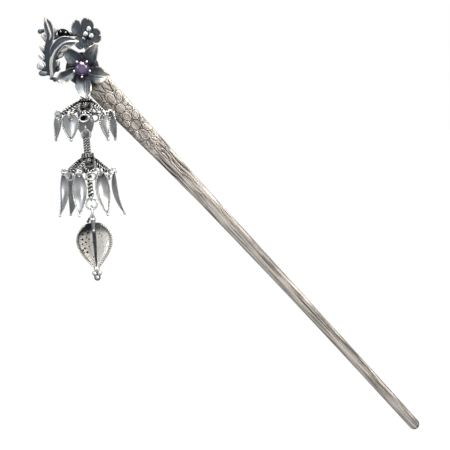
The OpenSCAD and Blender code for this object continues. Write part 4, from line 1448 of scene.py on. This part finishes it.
@dataclass
class StoneSetting:
    """Cut stone held by five prongs with ball ends, over a plain cup. Millimetres."""

    stone_d: float = 5.0
    table_d: float = 2.9
    stone_front: float = 5.2
    crown_h: float = 0.9
    pavilion_h: float = 1.7
    girdle_half: float = 0.07
    # Radius and height of the corners between table and girdle, and of those under the girdle
    star: tuple = (2.03, 0.53)
    belly: tuple = (1.35, -0.85)
    # How deep the purple is in the table and in its middle; the paler table is a painted reflection of a soft box
    reflected_table_purple: float = 0.45
    reflected_middle_purple: float = 0.0
    prongs: int = 5
    first_prong: float = 51.0
    ball_r: float = 0.46
    # A prong's stem from the cup up, and the cup: radius, wire, height
    stem: tuple = ((1.6, 0, 2.7), (2.35, 0, 3.9))
    cup: tuple = (1.95, 0.26, 3.7)

    def stone(self) -> Form:
        """Round cut: table, star facets, kites, girdle facets and a pavilion that runs to a point.

        Formula: rings of corners for the table, the stars, the girdle's two edges and the belly, with
        the table's middle and the point, are joined facet by facet.

        Returns:
            The closed stone about its girdle's middle.
        """
        eight, sixteen = np.arange(8), np.arange(16)

        def ring(radius: float, angles: Array, z: float) -> Array:
            """Corners at some angles round the axis, at a height."""
            a = np.radians(angles)
            return np.stack([radius * np.cos(a), radius * np.sin(a), 0 * a + z], 1)

        points = np.vstack([
            ring(self.table_d / 2, 45.0 * eight, self.crown_h),
            ring(self.star[0], 45.0 * eight + 22.5, self.star[1]),
            ring(self.stone_d / 2, 22.5 * sixteen, self.girdle_half),
            ring(self.stone_d / 2, 22.5 * sixteen, -self.girdle_half),
            ring(self.belly[0], 45.0 * eight + 22.5, self.belly[1]),
            [(0, 0, self.crown_h), (0, 0, -self.pavilion_h)],
        ])
        # Numbers of the corners: table, star, girdle above and below, belly, middle of the table and point
        after, before = (eight + 1) % 8, (eight - 1) % 8
        table, table_after, star, star_before = eight, after, 8 + eight, 8 + before
        over = [16 + (2 * eight + k) % 16 for k in range(3)]
        under = [corner + 16 for corner in over]
        belly, belly_before, middle, point = 48 + eight, 48 + before, 56, 57
        girdle, girdle_after = 16 + sixteen, 16 + (sixteen + 1) % 16
        facets = (
            (middle, table, table_after, table_after),
            (table, star, table_after, table_after),
            (table, star_before, over[0], star),
            (star, over[0], over[1], over[1]),
            (star, over[1], over[2], over[2]),
            (girdle, girdle + 16, girdle_after + 16, girdle_after),
            (belly, under[1], under[0], under[0]),
            (belly, under[2], under[1], under[1]),
            (point, belly, under[0], belly_before),
        )
        faces = np.vstack([np.stack(np.broadcast_arrays(*facet), 1) for facet in facets])
        purple = np.ones(len(points))
        purple[table], purple[middle] = self.reflected_table_purple, self.reflected_middle_purple
        return sealed(points, faces, purple)

    def build(self, finishes: Finishes) -> None:
        """Makes the stone, the prongs and the cup.

        Args:
            finishes: the object's materials.
        """
        at = FRAMES.stone()
        stone = self.stone().placed(at @ shift(0, 0, self.stone_front))
        add_piece("amethyst_stone", [stone], finishes.stone, Body.PIN, ["amethyst"], crease=4.0)
        reach = self.stone_d / 2 + self.ball_r - 0.15
        stem = through([*self.stem, (reach + 0.14, 0, self.stone_front + 0.15)], np.linspace(0, 1, 8))
        prong = [
            tube(stem, np.linspace(0.32, 0.27, 8), (0, 1, 0), 12, dark=0.7),
            ball((reach, 0, self.stone_front + 0.56), self.ball_r, 12, 18),
        ]
        ways = [at @ turn("z", self.first_prong + 360 / self.prongs * k) for k in range(self.prongs)]
        metal = [form.placed(way) for way in ways for form in prong]
        radius, wire, height = self.cup
        metal.append(wire_ring(radius, wire, 48, 10, 0.8).placed(at @ shift(0, 0, height)))
        add_piece("stone_prongs", metal, finishes.drops, Body.PIN)


@dataclass(frozen=True)
class CrownSizes:
    """One crown of oval loops. Millimetres and degrees."""

    name: str
    body: Body
    node: str
    apex: float
    tilt: float
    loops: int
    first_turn: float
    outer: float
    half: float
    slope: float
    eyes_down: float
    drop_radius: float
    skew: float
    # Bell inside, painted fully dark as the shade in the crown's hollow: height from the crown's middle, radius
    bell: tuple
    # Ways round of the eyes for the drops
    ways: tuple

    def frame(self) -> Array:
        """Frame of the crown: tilted, with its middle pushed to the right in step with its height.

        Returns:
            The frame's matrix.
        """
        pushed = np.eye(4)
        pushed[1, 2:] = self.skew, self.skew * self.eyes_down
        return FRAMES.tilted(self.apex, self.tilt) @ pushed


@dataclass
class Crown:
    """Crown of twisted oval loops with plain rings under them and eyes for the drops."""

    sizes: CrownSizes
    inner: float = 1.7
    strand: float = 0.31
    pitch: float = 1.9
    eye_r: float = 0.95
    eye_wire: float = 0.33
    eye_slope: float = 15.0
    stalk_root: float = 4.6
    # Plain ring under a loop: its two radii
    plain_ring: tuple = (1.25, 1.6)
    # Wire wound about the bell: turns, radius; and small rings over it: radius, height
    wound: tuple = (7, 0.27)
    small_rings: tuple = ((2.35, -1.75), (1.75, -0.55))

    def loop(self) -> Form:
        """One oval loop of two twisted strands on the crown's cone, pointing along x, with painted shade further
        in.

        Returns:
            The loop.
        """
        s = self.sizes
        c, sn = math.cos(math.radians(s.slope)), math.sin(math.radians(s.slope))
        along, normal = np.array([c, 0, -sn]), np.array([sn, 0, c])
        middle, reach = (self.inner + s.outer) / 2 / c, (s.outer - self.inner) / 2 / c
        path = oval_path(middle * along, along, (0, 1, 0), reach, s.half, 90)
        form = twisted(even(path, 120, True), normal, self.strand, self.pitch, closed=True)
        # Painted shade towards the crown's hollow middle
        near = ease(s.outer * 0.62, s.outer * 0.3, form.points[:, 0])
        return Form(form.points, form.faces, np.maximum(form.dark, near))

    def face_ring(self) -> Form:
        """Plain ring under the outer end of a loop, looking outwards.

        Returns:
            The ring.
        """
        s = self.sizes
        centre = np.array([s.outer + 0.27, 0, -s.outer * math.tan(math.radians(s.slope)) - 1.5])
        down = unit(np.array([0.1, 0, -1.0]))
        path = oval_path(centre, down, (0, 1, 0), *self.plain_ring, 40)
        return tube(path, self.eye_wire, (1, 0, 0.1), 12, closed=True, dark=0.12)

    def stalk_eye(self) -> list[Form]:
        """Eye for a drop's ring, on a short twisted stalk from where two loops meet.

        Returns:
            The eye and its stalk.
        """
        s = self.sizes
        out = shift(s.drop_radius, 0, -s.eyes_down) @ turn("y", self.eye_slope)
        eye = wire_ring(self.eye_r, self.eye_wire * 0.92, 32, 12, 0.15).placed(out @ shift(-self.eye_r, 0, 0))
        start = np.array([self.stalk_root + 0.4, 0, -self.stalk_root * math.tan(math.radians(s.slope))])
        end = (out @ np.array([-2 * self.eye_r, 0, 0, 1.0]))[:3]
        stalk = twisted(np.linspace(start, end, 12), (0, 1, 0), 0.24, 1.3, per_turn=10)
        return [eye, stalk]

    def wires(self) -> list[Form]:
        """All the wires of the crown in its own frame.

        Inside the loops stand a bell painted fully dark as the shade in the crown's hollow, a wire wound about
        it and two small twisted rings.
        Formula: the wound wire keeps to the bell's radius while its angle grows in step with its height.

        Returns:
            The closed shapes.
        """
        s = self.sizes
        forms = []
        for k in range(s.loops):
            way = turn("z", s.first_turn + 360 / s.loops * k)
            forms += [self.loop().placed(way), self.face_ring().placed(way)]
        for way in s.ways:
            forms += [f.placed(turn("z", way)) for f in self.stalk_eye()]
        heights, radii = np.array(s.bell).T
        bell = np.stack([0 * heights, 0 * heights, heights], 1)
        # The bell is painted fully dark: it stands for the shade inside the crown
        forms.append(tube(bell, radii, (1, 0, 0), 24, dark=1.0))
        turns, wire = self.wound
        height = np.linspace(heights[1], heights[-2], 170)
        angle = 2 * np.pi * turns * np.linspace(0, 1, len(height))
        out = np.interp(height, heights, radii)
        coil = np.stack([out * np.cos(angle), out * np.sin(angle), height], 1)
        forms.append(tube(coil, wire, (0, 0, 1), 8, dark=0.5 + 0.3 * np.cos(1.7 * angle)))
        for radius, z in self.small_rings:
            forms.append(twisted(circle(radius, z, 60), (0, 0, 1), 0.25, 1.5, closed=True))
        return forms


@dataclass
class Strings:
    """The two crowns with their eyes, rope and stem. Millimetres."""

    upper_hinge: float = 47.6
    lower_hinge: float = 34.6
    pendant_hinge: float = 8.7
    hook_gap: float = 0.1
    # Rings and eyes: radius and wire; the bail's two radii and wire
    hanger_eye: tuple = (0.8, 0.3)
    crown_top_eye: tuple = (0.8, 0.3)
    crown_low_eye: tuple = (1.25, 0.4)
    rope_eye: tuple = (1.42, 0.42)
    ring_size: tuple = (1.84, 0.4)
    link_size: tuple = (1.8, 0.42)
    stem_eye: tuple = (0.85, 0.28)
    bail_size: tuple = (1.3, 0.84, 0.3)
    # The rope's four cords: right and back
    cords: tuple = ((-0.7, -0.5), (0.7, -0.5), (-0.7, 0.5), (0.7, 0.5))

    @property
    def upper_apex(self) -> float:
        """Height of the upper crown's middle."""
        lift = self.hanger_eye[1] + self.crown_top_eye[1] + self.hook_gap
        return self.upper_hinge + lift - 2 * self.crown_top_eye[0] - 0.3

    @property
    def rope_eye_z(self) -> float:
        """Height of the middle of the eye over the rope."""
        lift = self.crown_low_eye[1] + self.rope_eye[1] + self.hook_gap
        return self.lower_hinge + lift - self.rope_eye[0]

    @property
    def lower_apex(self) -> float:
        """Height of the lower crown's middle."""
        return self.rope_eye_z - 6.9

    @property
    def stem_eye_z(self) -> float:
        """Height of the middle of the eye under the stem."""
        wires = self.stem_eye[1] + self.ring_size[1] + self.hook_gap
        return self.pendant_hinge + 2 * self.ring_size[0] + self.stem_eye[0] - wires

    @property
    def bail_z(self) -> float:
        """Height of the middle of the pendant's bail."""
        wires = self.ring_size[1] + 2 * self.link_size[1] + self.bail_size[2] + 2 * self.hook_gap
        return self.pendant_hinge + wires - 2 * self.link_size[0] - self.bail_size[0]

    def ring_at(self, size: tuple, z: float, lean: Array) -> Form:
        """A ring of the string, at a height and turned by a lean."""
        return wire_ring(size[0], size[1], 40, 14, 0.15).placed(FRAMES.string(z, 90) @ lean)

    def hanger(self) -> list[Form]:
        """Eye under the bottom petal, with the wire that carries it.

        Returns:
            The closed shapes.
        """
        eye = self.ring_at(self.hanger_eye, self.upper_hinge + self.hanger_eye[0], EDGE_ON)
        top = FRAMES.string(self.upper_hinge + 2 * self.hanger_eye[0] + 0.1, 90)[:3, 3]
        foot = (FRAMES.stone() @ shift(0, -7.6, 5.4))[:3, 3]
        return [eye, tube(np.linspace(top, foot, 8), 0.38, (1, 0, 0), 14, dark=0.7)]

    def upper_sizes(self, ways: tuple) -> CrownSizes:
        """Sizes of the upper crown."""
        return CrownSizes(
            "upper_crown_wires", Body.UPPER, "upper_crown", apex=self.upper_apex, tilt=4, loops=5, first_turn=6,
            outer=7.7, half=2.3, slope=34, eyes_down=4.9, drop_radius=8.9, skew=0.2, ways=ways,
            bell=((-7.4, 1.1), (-5.8, 1.6), (-4.2, 2.2), (-2.4, 2.4), (-0.9, 1.9), (0.1, 1.1)),
        )

    def lower_sizes(self, ways: tuple) -> CrownSizes:
        """Sizes of the lower crown."""
        return CrownSizes(
            "lower_crown_wires", Body.LOWER, "lower_crown", apex=self.lower_apex, tilt=3, loops=6, first_turn=9,
            outer=7.2, half=1.9, slope=38, eyes_down=5.3, drop_radius=8.3, skew=0.0, ways=ways,
            bell=((-6.6, 0.8), (-5, 1.7), (-3.4, 2.4), (-2, 2.5), (-0.9, 1.9), (0.1, 1.1)),
        )

    def build(self, finishes: Finishes, upper: CrownSizes, lower: CrownSizes) -> None:
        """Makes the hanger, both crowns and what joins them.

        Args:
            finishes: the object's materials.
            upper: sizes of the upper crown.
            lower: sizes of the lower crown.
        """
        line = FRAMES.string(0, 0)
        add_piece("hanger", self.hanger(), finishes.wire, Body.PIN)
        low_top = self.lower_hinge + 2 * self.crown_low_eye[0]
        post = np.linspace((0, 0, low_top - 0.2), (0, 0, self.upper_apex - 0.3), 10)
        forms = [f.placed(upper.frame()) for f in Crown(upper).wires()]
        forms += [
            self.ring_at(self.crown_top_eye, self.upper_apex + 0.3 + self.crown_top_eye[0], FACE),
            twisted(post, (1, 0, 0), 0.26, 1.5).placed(line),
            self.ring_at(self.crown_low_eye, self.lower_hinge + self.crown_low_eye[0], EDGE_ON),
        ]
        add_piece(upper.name, forms, finishes.wire, upper.body, [upper.node])
        rope = np.linspace((0, 0, self.lower_apex - 0.2), (0, 0, self.rope_eye_z - self.rope_eye[0] + 0.3), 20)
        stem = np.linspace((0, 0, self.lower_apex - 1), (0, 0, self.stem_eye_z + self.stem_eye[0]), 30)
        forms = [f.placed(lower.frame()) for f in Crown(lower).wires()]
        forms += [
            twisted(rope + (x, y, 0), (1, 0, 0), 0.36, 1.75, phase=0.25 * (x > 0)).placed(line)
            for x, y in self.cords
        ]
        forms += [
            self.ring_at(self.rope_eye, self.rope_eye_z, FACE),
            twisted(circle(1.62, self.lower_apex + 0.1, 60), (0, 0, 1), 0.27, 1.5, closed=True).placed(line),
            twisted(stem, (1, 0, 0), np.linspace(0.33, 0.56, 30), 2.4, sides=10, per_turn=14).placed(line),
            self.ring_at(self.stem_eye, self.stem_eye_z, EDGE_ON),
        ]
        add_piece(lower.name, forms, finishes.wire, lower.body, [lower.node])


@dataclass(frozen=True)
class DropSizes:
    """A dished drop: its outline, the depth of its dish, the curl of its tip, its row of beads and the painted
    shade at its top. Millimetres.
    """

    width: float
    length: float
    blunt: float
    power: float
    notch: float
    dish: float
    curl: float
    bead_r: float
    bead_pitch: float
    top_painted_shade: float


HEART = DropSizes(
    width=5.9, length=8.7, blunt=0.16, power=0.74, notch=0.6, dish=0.75, curl=0.3, bead_r=0.26, bead_pitch=0.62,
    top_painted_shade=0.2,
)
LONG_LEAF = DropSizes(
    width=4.9, length=14.3, blunt=0.05, power=0.82, notch=0.0, dish=1.1, curl=2.8, bead_r=0.21, bead_pitch=0.5,
    top_painted_shade=0.5,
)


@dataclass
class Drops:
    """Hearts under the upper crown and long leaves under the lower one. Millimetres and degrees."""

    strings: Strings
    # Way round from the front, lean outwards, turn on the ring
    hearts: tuple = ((-99, 8, 32), (-30, 4, 10), (45, 6, 14), (102, 4, 14), (183, 6, -12))
    leaves: tuple = ((-22, 0, 4), (30, 1, -6), (95, -2, 6), (156, 0, -6), (-138, -1, 4), (-86, 0, 28))
    # Darkness added all over each one
    heart_tones: tuple = (0.24, 0.24, 0.18, 0.18, 0.2)
    leaf_tones: tuple = (0.0, 0.12, 0.12, 0.16, 0.2, 0.06)
    thick: float = 0.46
    hole_r: float = 0.6
    hole_down: float = 0.75
    hole_rise: float = 0.35
    eye_wire: float = 0.33
    heart_ring: tuple = (1.3, 0.3)
    leaf_ring: tuple = (1.05, 0.26)

    def outline(self, d: DropSizes, count: int) -> Array:
        """Edge of a drop in its own plane, going round from one end of its top to the other.

        Formula: down one side at v = 1, up the other at v = -1, and along the top at u = 0, which dips
        between two lobes by the notch.

        Args:
            d: the drop's sizes.
            count: number of places round it.

        Returns:
            Places as x down from the hole and y across.
        """
        down, along = np.linspace(0, 1, 240), np.linspace(-1, 1, 80)[1:-1]
        u = np.concatenate([down, down[::-1], 0 * along])
        v = np.concatenate([np.ones_like(down), -np.ones_like(down), along])
        path = np.column_stack([self.flat_place(d, u, v), np.zeros(len(u))])
        return even(path, count, closed=True)[:, :2]

    def flat_place(self, d: DropSizes, u: Array, v: Array) -> Array:
        """Place in the drop's plane.

        Formula: down, the length times u less the notch's dip between the lobes, which fades with the
        third power of 1 - u; across, the half width times v.

        Args:
            d: the drop's sizes.
            u: 0 at the top to 1 at the tip.
            v: -1 to 1 across.

        Returns:
            x down from the hole and y across.
        """
        dip = d.notch * (1 - (1 - u) ** 3 * (1 - 4 * (1 - np.abs(v)) * np.abs(v)))
        return np.stack([d.length * u - self.hole_down - dip, self.half_at(d, u) * v], -1)

    def half_at(self, d: DropSizes, u: Array) -> Array:
        """Half width of a drop: the leaf's outline, with room for the beads."""
        return d.width / 2 * leaf_half(u, d.blunt, d.power) + 0.12

    def height(self, d: DropSizes, x: Array, y: Array) -> Array:
        """Height of the dished sheet over its plane.

        Formula: less the dish times (1 - v squared) times a sine along the drop, plus the curl times
        the third power of the way along.

        Args:
            d: the drop's sizes.
            x: down from the hole.
            y: across.

        Returns:
            The height at each place.
        """
        u = np.clip((x + self.hole_down + d.notch) / d.length, 0, 1)
        v = np.clip(y / self.half_at(d, u), -1, 1)
        return self.hole_rise - d.dish * (1 - v**2) * sine(180 * u**0.7) + d.curl * u**3

    def drop(self, d: DropSizes) -> Form:
        """One drop: a shell with a hole, a beaded rim and a ball at its tip.

        Formula: rings of places blend from the hole's circle to the edge; each stands at the dish's
        height, half the thickness above or below, and the shell closes round at both rims.

        Args:
            d: the drop's sizes.

        Returns:
            The closed shapes as one, in the drop's own frame.
        """
        count, rings = 132, 30
        edge = self.outline(d, count)
        angle = np.arctan2(edge[:, 1], edge[:, 0])
        hole = self.hole_r * np.stack([np.cos(angle), np.sin(angle)], 1)
        share = np.linspace(0, 1, rings + 1)[:, None, None]
        flat = hole[None] * (1 - share) + edge[None] * share
        x, y = flat[..., 0], flat[..., 1]
        z = self.height(d, x, y)
        r = share[..., 0]
        body = np.sqrt(np.clip(1 - r**10, 0, 1) * np.clip(1 - (1 - r) ** 12, 0, 1)) + 0 * x
        front = np.stack([x, y, z + body * self.thick / 2], -1)
        back = np.stack([x, y, z - body * self.thick / 2], -1)
        faces = grid_faces(rings + 1, count, round_columns=True)
        size = (rings + 1) * count
        near_rim = ease(0.8, 0.93, r) + 0 * x
        # Painted shade towards the top, where the dish faces down away from the light from above
        painted_top_shade = d.top_painted_shade * ease(0.55 * d.length, 0.05 * d.length, x)
        near_hole = 0.2 * ease(1.2, 0.7, np.hypot(x, y))
        shade = np.clip(0.6 * near_rim + (painted_top_shade + near_hole), 0, 1)
        points = np.vstack([front.reshape(-1, 3), back.reshape(-1, 3)])
        darks = np.concatenate([shade.reshape(-1), np.full(size, 0.3)])
        shell = sealed(points, np.vstack([faces, faces[:, ::-1] + size]), darks)
        inset = edge * (1 - 0.15 / np.maximum(np.linalg.norm(edge, axis=1, keepdims=True), 0.5))
        rim = np.column_stack([inset, self.height(d, inset[:, 0], inset[:, 1]) + 0.16])
        beads = beaded(rim, (0, 0, 1), d.bead_r, d.bead_pitch)
        tip = ball((d.length - self.hole_down - d.notch + 0.02, 0, d.curl + self.hole_rise), 0.5, 10, 16, 0.1)
        return joined([shell, beads, tip])

    def crowns(self) -> tuple[CrownSizes, CrownSizes]:
        """Sizes of the upper and the lower crown, each with its eyes over its drops."""
        hearts, leaves = (tuple(way for way, _, _ in rows) for rows in (self.hearts, self.leaves))
        return self.strings.upper_sizes(hearts), self.strings.lower_sizes(leaves)

    def hang(self, crown: CrownSizes, ring: tuple, place: tuple) -> Array:
        """Frame of a drop on its ring, as in the part's source.

        Args:
            crown: the crown that it hangs from.
            ring: radius and wire of its ring.
            place: way round, lean outwards and turn on the ring.

        Returns:
            The frame's matrix.
        """
        way, lean, twist = place
        tilted = crown.drop_radius * math.sin(math.radians(way)) * math.sin(math.radians(crown.tilt))
        eye = crown.apex - crown.eyes_down - tilted
        ring_z = eye - ring[0] + ring[1] + self.eye_wire + self.strings.hook_gap
        at = FRAMES.string(ring_z - ring[0], way) @ shift(crown.drop_radius, 0, 0)
        return at @ turn("z", twist) @ turn("y", 90 - lean)

    def build(self, finishes: Finishes) -> None:
        """Makes every heart and long leaf.

        Args:
            finishes: the object's materials.
        """
        upper, lower = self.crowns()
        kinds = (
            ("heart_drop", "heart", HEART, upper, self.heart_ring, self.hearts, self.heart_tones),
            ("leaf_drop", "long_leaf", LONG_LEAF, lower, self.leaf_ring, self.leaves, self.leaf_tones),
        )
        for name, node, sizes, crown, ring, places, tones in kinds:
            drop = self.drop(sizes)
            for k, (place, tone) in enumerate(zip(places, tones), 1):
                form = drop.toned(tone).placed(self.hang(crown, ring, place))
                add_piece(f"{name}_{k}", [form], finishes.drops, crown.body, [f"{node}_{k}"])


@dataclass
class LeafPendant:
    """Folded leaf with punched dots, a beaded rim, a tube in its fold and granules. Millimetres."""

    strings: Strings
    width: float = 11.4
    length: float = 15.4
    fold: float = 2.6
    thick: float = 0.7
    # Punched dots on the left half: down from the top, left of the fold, radius
    left_dots: tuple = (
        (2.6, 2.9, 0.42), (3.3, 2.1, 0.4), (3.8, 4.0, 0.46), (4.9, 2.8, 0.36), (5.5, 4.2, 0.4), (5.6, 1.9, 0.36),
        (6.6, 3.1, 0.38), (7.1, 4.3, 0.34), (8.1, 2.1, 0.3), (8.6, 3.5, 0.38), (9.2, 4.3, 0.36), (10, 2.8, 0.5),
        (10, 3.9, 0.26), (6.8, 0.9, 0.28), (11.8, 0.8, 0.3), (7.6, 1.1, 0.24),
    )
    # Fainter marks on the right half, in the same way
    right_dots: tuple = (
        (3.9, 1.9, 0.26), (4.6, 2.7, 0.26), (5.1, 1.6, 0.22), (6.6, 0.6, 0.26), (6.9, 2.7, 0.2), (8.6, 3.1, 0.22),
        (8.7, 0.8, 0.24), (8.9, 1.5, 0.2), (10.9, 0.8, 0.24), (9.7, 1.2, 0.18), (3.4, 3.2, 0.22), (7.7, 1.9, 0.18),
    )
    # Beaded rims: place across, radius and pitch of the beads
    rims: tuple = ((0.97, 0.38, 0.8), (-0.97, 0.27, 0.52))
    # Balls at the top and at the tip: place, radius, steps from pole to pole and round, darkness
    top_balls: tuple = (
        ((0.62, -0.05, -2.7), 0.56, 12, 18, 0),
        ((-0.2, -1.7, 0.5), 0.5, 10, 16, 1),
        ((-0.2, -1.2, 1.3), 0.5, 10, 16, 1),
    )
    tip_balls: tuple = (
        ((0.2, 0, -0.5), 1.05, 14, 20, 0),
        ((0.2, 0.9, -1.9), 0.85, 14, 20, 0),
        ((0.2, -0.9, -1.9), 0.85, 14, 20, 0),
        ((-0.6, 0, -1.5), 0.95, 12, 18, 0.8),
        ((0.35, 0, -3.3), 0.75, 14, 20, 0),
    )

    def shape(self, u: Array, v: Array) -> Array:
        """Middle surface of the folded leaf.

        Formula: across, the outline's half width times the sine of a quarter turn of v; towards the
        viewer, the fold's depth times (v squared less a half), so the middle line lies deepest.

        Args:
            u: 0 at the root to 1 at the tip.
            v: -1 at the left rim to 1 at the right one.

        Returns:
            Places towards the viewer, across, and up from the top of the plates.
        """
        w = np.abs(v)
        half = self.width / 2 * leaf_half(u, 0.06, 0.78) + 0.3
        depth = self.fold * leaf_half(u, 0.1, 0.78)
        down = self.length * u + 0.6 * w**2 * (1 - u) ** 2
        across = half * sine(90 * w) * np.sign(v)
        out = depth * (w**2 - 0.5) + 0.35 * w**8 + 0.2
        return np.stack([out, across, -down], -1)

    def front(self, u: Array, v: Array) -> tuple[Array, Array]:
        """Punched dots, and small uneven dents between the fold and the rims.

        Formula: the dents are products of sines in two slanting ways. It is dark in the dots and along the
        rims; along the fold, at the top and over the left half, turned away from the light, it is painted shade.

        Args:
            u: 0 at the root to 1 at the tip.
            v: -1 at the left rim to 1 at the right one.

        Returns:
            Height in millimetres and darkness from 0 to 1.
        """
        place, w = self.shape(u, v), np.abs(v)
        y, z = place[..., 1], place[..., 2]
        deep, faint = np.zeros_like(u), np.zeros_like(u)
        for down, left, radius in self.left_dots:
            deep = np.maximum(deep, ease(radius, 0.35 * radius, np.hypot(z + down, y + left)))
        for down, right, radius in self.right_dots:
            faint = np.maximum(faint, ease(radius, 0.35 * radius, np.hypot(z + down, y - right)))
        a = sine(300 * y + 130 * z + 60 * sine(150 * z)) * sine(95 * y - 330 * z + 70 * sine(210 * y))
        b = sine(520 * y - 240 * z + 40) * sine(260 * y + 470 * z + 110)
        dents = ease(0.12, 0.75, 0.65 * a + 0.45 * b) * ease(0.06, 0.16, w) * ease(0.9, 0.84, w)
        # Painted shadow along the fold; painted shade at the top and, in shaded, over the left half
        fold_shadow = ease(0.1, 0.04, w) + 0.5 * ease(0.2, 0.02, w) * ease(0.6, 0.95, u)
        shaded = np.where(v < 0, 0.34 * ease(-0.06, -0.2, v) + 0.26 * ease(-0.35, -0.85, v), 0)
        dark = 0.9 * deep + 0.6 * faint + 0.8 * fold_shadow + 0.85 * ease(0.84, 0.93, w) + 0.6 * ease(0.3, 0.08, u)
        dark = dark + shaded + dents * np.where(v < 0, 0.12, 0.42)
        return -0.2 * deep - 0.1 * faint - 0.07 * dents, np.clip(dark, 0, 1)

    def build(self, finishes: Finishes) -> None:
        """Makes the plates, their rims, the tube, the bail and the granules.

        Args:
            finishes: the object's materials.
        """
        strings, u = self.strings, np.linspace(0.0, 1, 160)
        at = FRAMES.string(strings.bail_z - strings.bail_size[0] - 0.1, 0)
        end = at @ shift(0, 0, -self.length)
        forms = [sheet(self.shape, self.thick, 150, 132, self.front, back_dark=0.35).placed(at)]
        for v, radius, pitch in self.rims:
            rim = self.shape(u, np.full_like(u, v)) + (0.2, 0, 0)
            forms.append(beaded(rim, (1, 0, 0.01), radius, pitch, closed=False).placed(at))
        add_piece("leaf_plates", forms, finishes.frosted, Body.PENDANT, ["leaf_pendant"])
        long, wide, wire = strings.bail_size
        bail = oval_path((0, 0, 0), (0, 0, 1), (1, 0, 0), long, wide, 48)
        forms = [
            tube(bail, wire, (0, 1, 0), 14, closed=True, dark=0.1).placed(FRAMES.string(strings.bail_z, 90)),
            tube(np.linspace((0.3, 0, 0.2), (0.3, 0, -2.9), 8), 0.75, (1, 0, 0), 20, dark=0.6).placed(at),
            wire_ring(0.85, 0.26, 36, 12, 0.85).placed(end @ shift(0.2, 0, -3.3) @ turn("y", 90)),
        ]
        for place, balls in ((at, self.top_balls), (end, self.tip_balls)):
            forms += [ball(*row).placed(place) for row in balls]
        add_piece("pendant_fittings", forms, finishes.head, Body.PENDANT)


# Studio


@dataclass
class Studio:
    """Camera, floor and soft light."""

    width_px: int = 450
    mm_per_px: float = 0.34
    roll: float = 4.5
    elevation: float = 2.0
    lens: float = 300.0
    sensor: float = 36.0
    origin_px: tuple = (230.0, 223.5)
    plane_y: float = -3.0
    floor_z: float = -150.0
    floor_half_m: float = 12.0
    # The surround, from the horizon up: sine of the height, colour
    surround: tuple = ((0.05, "FFFFFF"), (0.2, "7C8188"), (0.45, "5C6168"), (0.7, "F2F5F8"))
    # Soft boxes: name, place in metres, size in metres, power in watts, colour
    lamps: tuple = (
        ("overhead", (0.15, -0.35, 0.9), 0.55, 16.0, "FFFDF8"),
        ("right", (0.9, -0.5, 0.35), 0.4, 8.0, "FFFAF2"),
        ("left", (-0.9, -0.6, 0.35), 0.35, 3.0, "EEF4FF"),
    )

    def camera(self) -> None:
        """Long lens from the front, a little above, rolled as in the photograph.

        The lens and the distance are such that a pixel is its number of millimetres wide at the object.
        """
        e, r = math.radians(self.elevation), math.radians(self.roll)
        back = Vector((0, -math.cos(e), math.sin(e)))
        upright = Vector((0, math.sin(e), math.cos(e)))
        across = Vector((1, 0, 0))
        right = math.cos(r) * across - math.sin(r) * upright
        up = math.sin(r) * across + math.cos(r) * upright
        dx, dy = self.width_px / 2 - self.origin_px[0], self.width_px / 2 - self.origin_px[1]
        aim = self.mm_per_px * (dx * right - dy * up) + self.plane_y * Vector((0, math.cos(e), -math.sin(e)))
        half_width = self.width_px * self.mm_per_px / 2
        distance = half_width * self.lens / (self.sensor / 2)
        data = bpy.data.cameras.new("studio_camera")
        data.lens, data.sensor_width = self.lens, self.sensor
        data.clip_start, data.clip_end = 0.05, 50.0
        camera = new_object("studio_camera", data)
        camera.location = (aim + back * distance) * MM
        camera.rotation_mode = "QUATERNION"
        camera.rotation_quaternion = Matrix((right, up, back)).transposed().to_quaternion()
        bpy.context.scene.camera = camera

    def floor(self) -> None:
        """Wide glowing table under the object."""
        half, z = self.floor_half_m, self.floor_z * MM
        mesh = bpy.data.meshes.new("floor")
        ends = ((-half, -half), (half, -half), (half, half), (-half, half))
        mesh.from_pydata([(x, y, z) for x, y in ends], [], [(0, 1, 2, 3)])
        mesh.materials.append(TableFinish().build())
        new_object("floor", mesh)

    def light(self) -> None:
        """Large soft lights and a pale even surround."""
        world = bpy.data.worlds.new("studio")
        world.use_nodes = True
        tree = world.node_tree
        tree.nodes.clear()
        way = add_node(tree, "TexCoord").outputs["Generated"]
        axes = add_node(tree, "SeparateXYZ", Vector=way)
        ramp = add_node(tree, "ValToRGB", Fac=axes.outputs["Z"])
        stops = ramp.color_ramp.elements
        for k, (height, colour) in enumerate(self.surround):
            stop = stops[k] if k < len(stops) else stops.new(height)
            stop.position, stop.color = height, linear(colour)
        glow = add_node(tree, "Background", {"Strength": 1.0}, Color=ramp.outputs["Color"])
        add_node(tree, "OutputWorld", Surface=glow.outputs["Background"])
        bpy.context.scene.world = world
        for name, place, size, power, colour in self.lamps:
            data = bpy.data.lights.new(name, "AREA")
            data.shape, data.size, data.energy, data.color = "SQUARE", size, power, linear(colour)[:3]
            lamp = new_object(name, data)
            lamp.location = place
            lamp.rotation_euler = (-Vector(place)).to_track_quat("-Z", "Y").to_euler()

    def build(self) -> None:
        """Sets up the whole studio."""
        bpy.context.scene.view_settings.view_transform = "Standard"
        self.camera()
        self.floor()
        self.light()


def corners(box: tuple[Vector, Vector]) -> list[list[float]]:
    """A box's two corners as plain lists of numbers."""
    return [[float(c) for c in corner] for corner in box]


def main() -> None:
    """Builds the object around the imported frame."""
    logging.basicConfig(level=logging.INFO, format="%(name)s: %(message)s")
    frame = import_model()
    finishes = Finishes.make()
    strings = Strings()
    drops = Drops(strings)
    Shank().build(finishes)
    BigFlower().build(finishes)
    Bloom().build(finishes)
    Scrolls().build(finishes)
    StoneSetting().build(finishes)
    strings.build(finishes, *drops.crowns())
    drops.build(finishes)
    LeafPendant(strings).build(finishes)
    for node in frame["nodes"]:
        if "ring" in node or node == "small_link":
            dress_node(frame, node, finishes.drops)
    Studio().build()


if __name__ == "__main__":
    main()
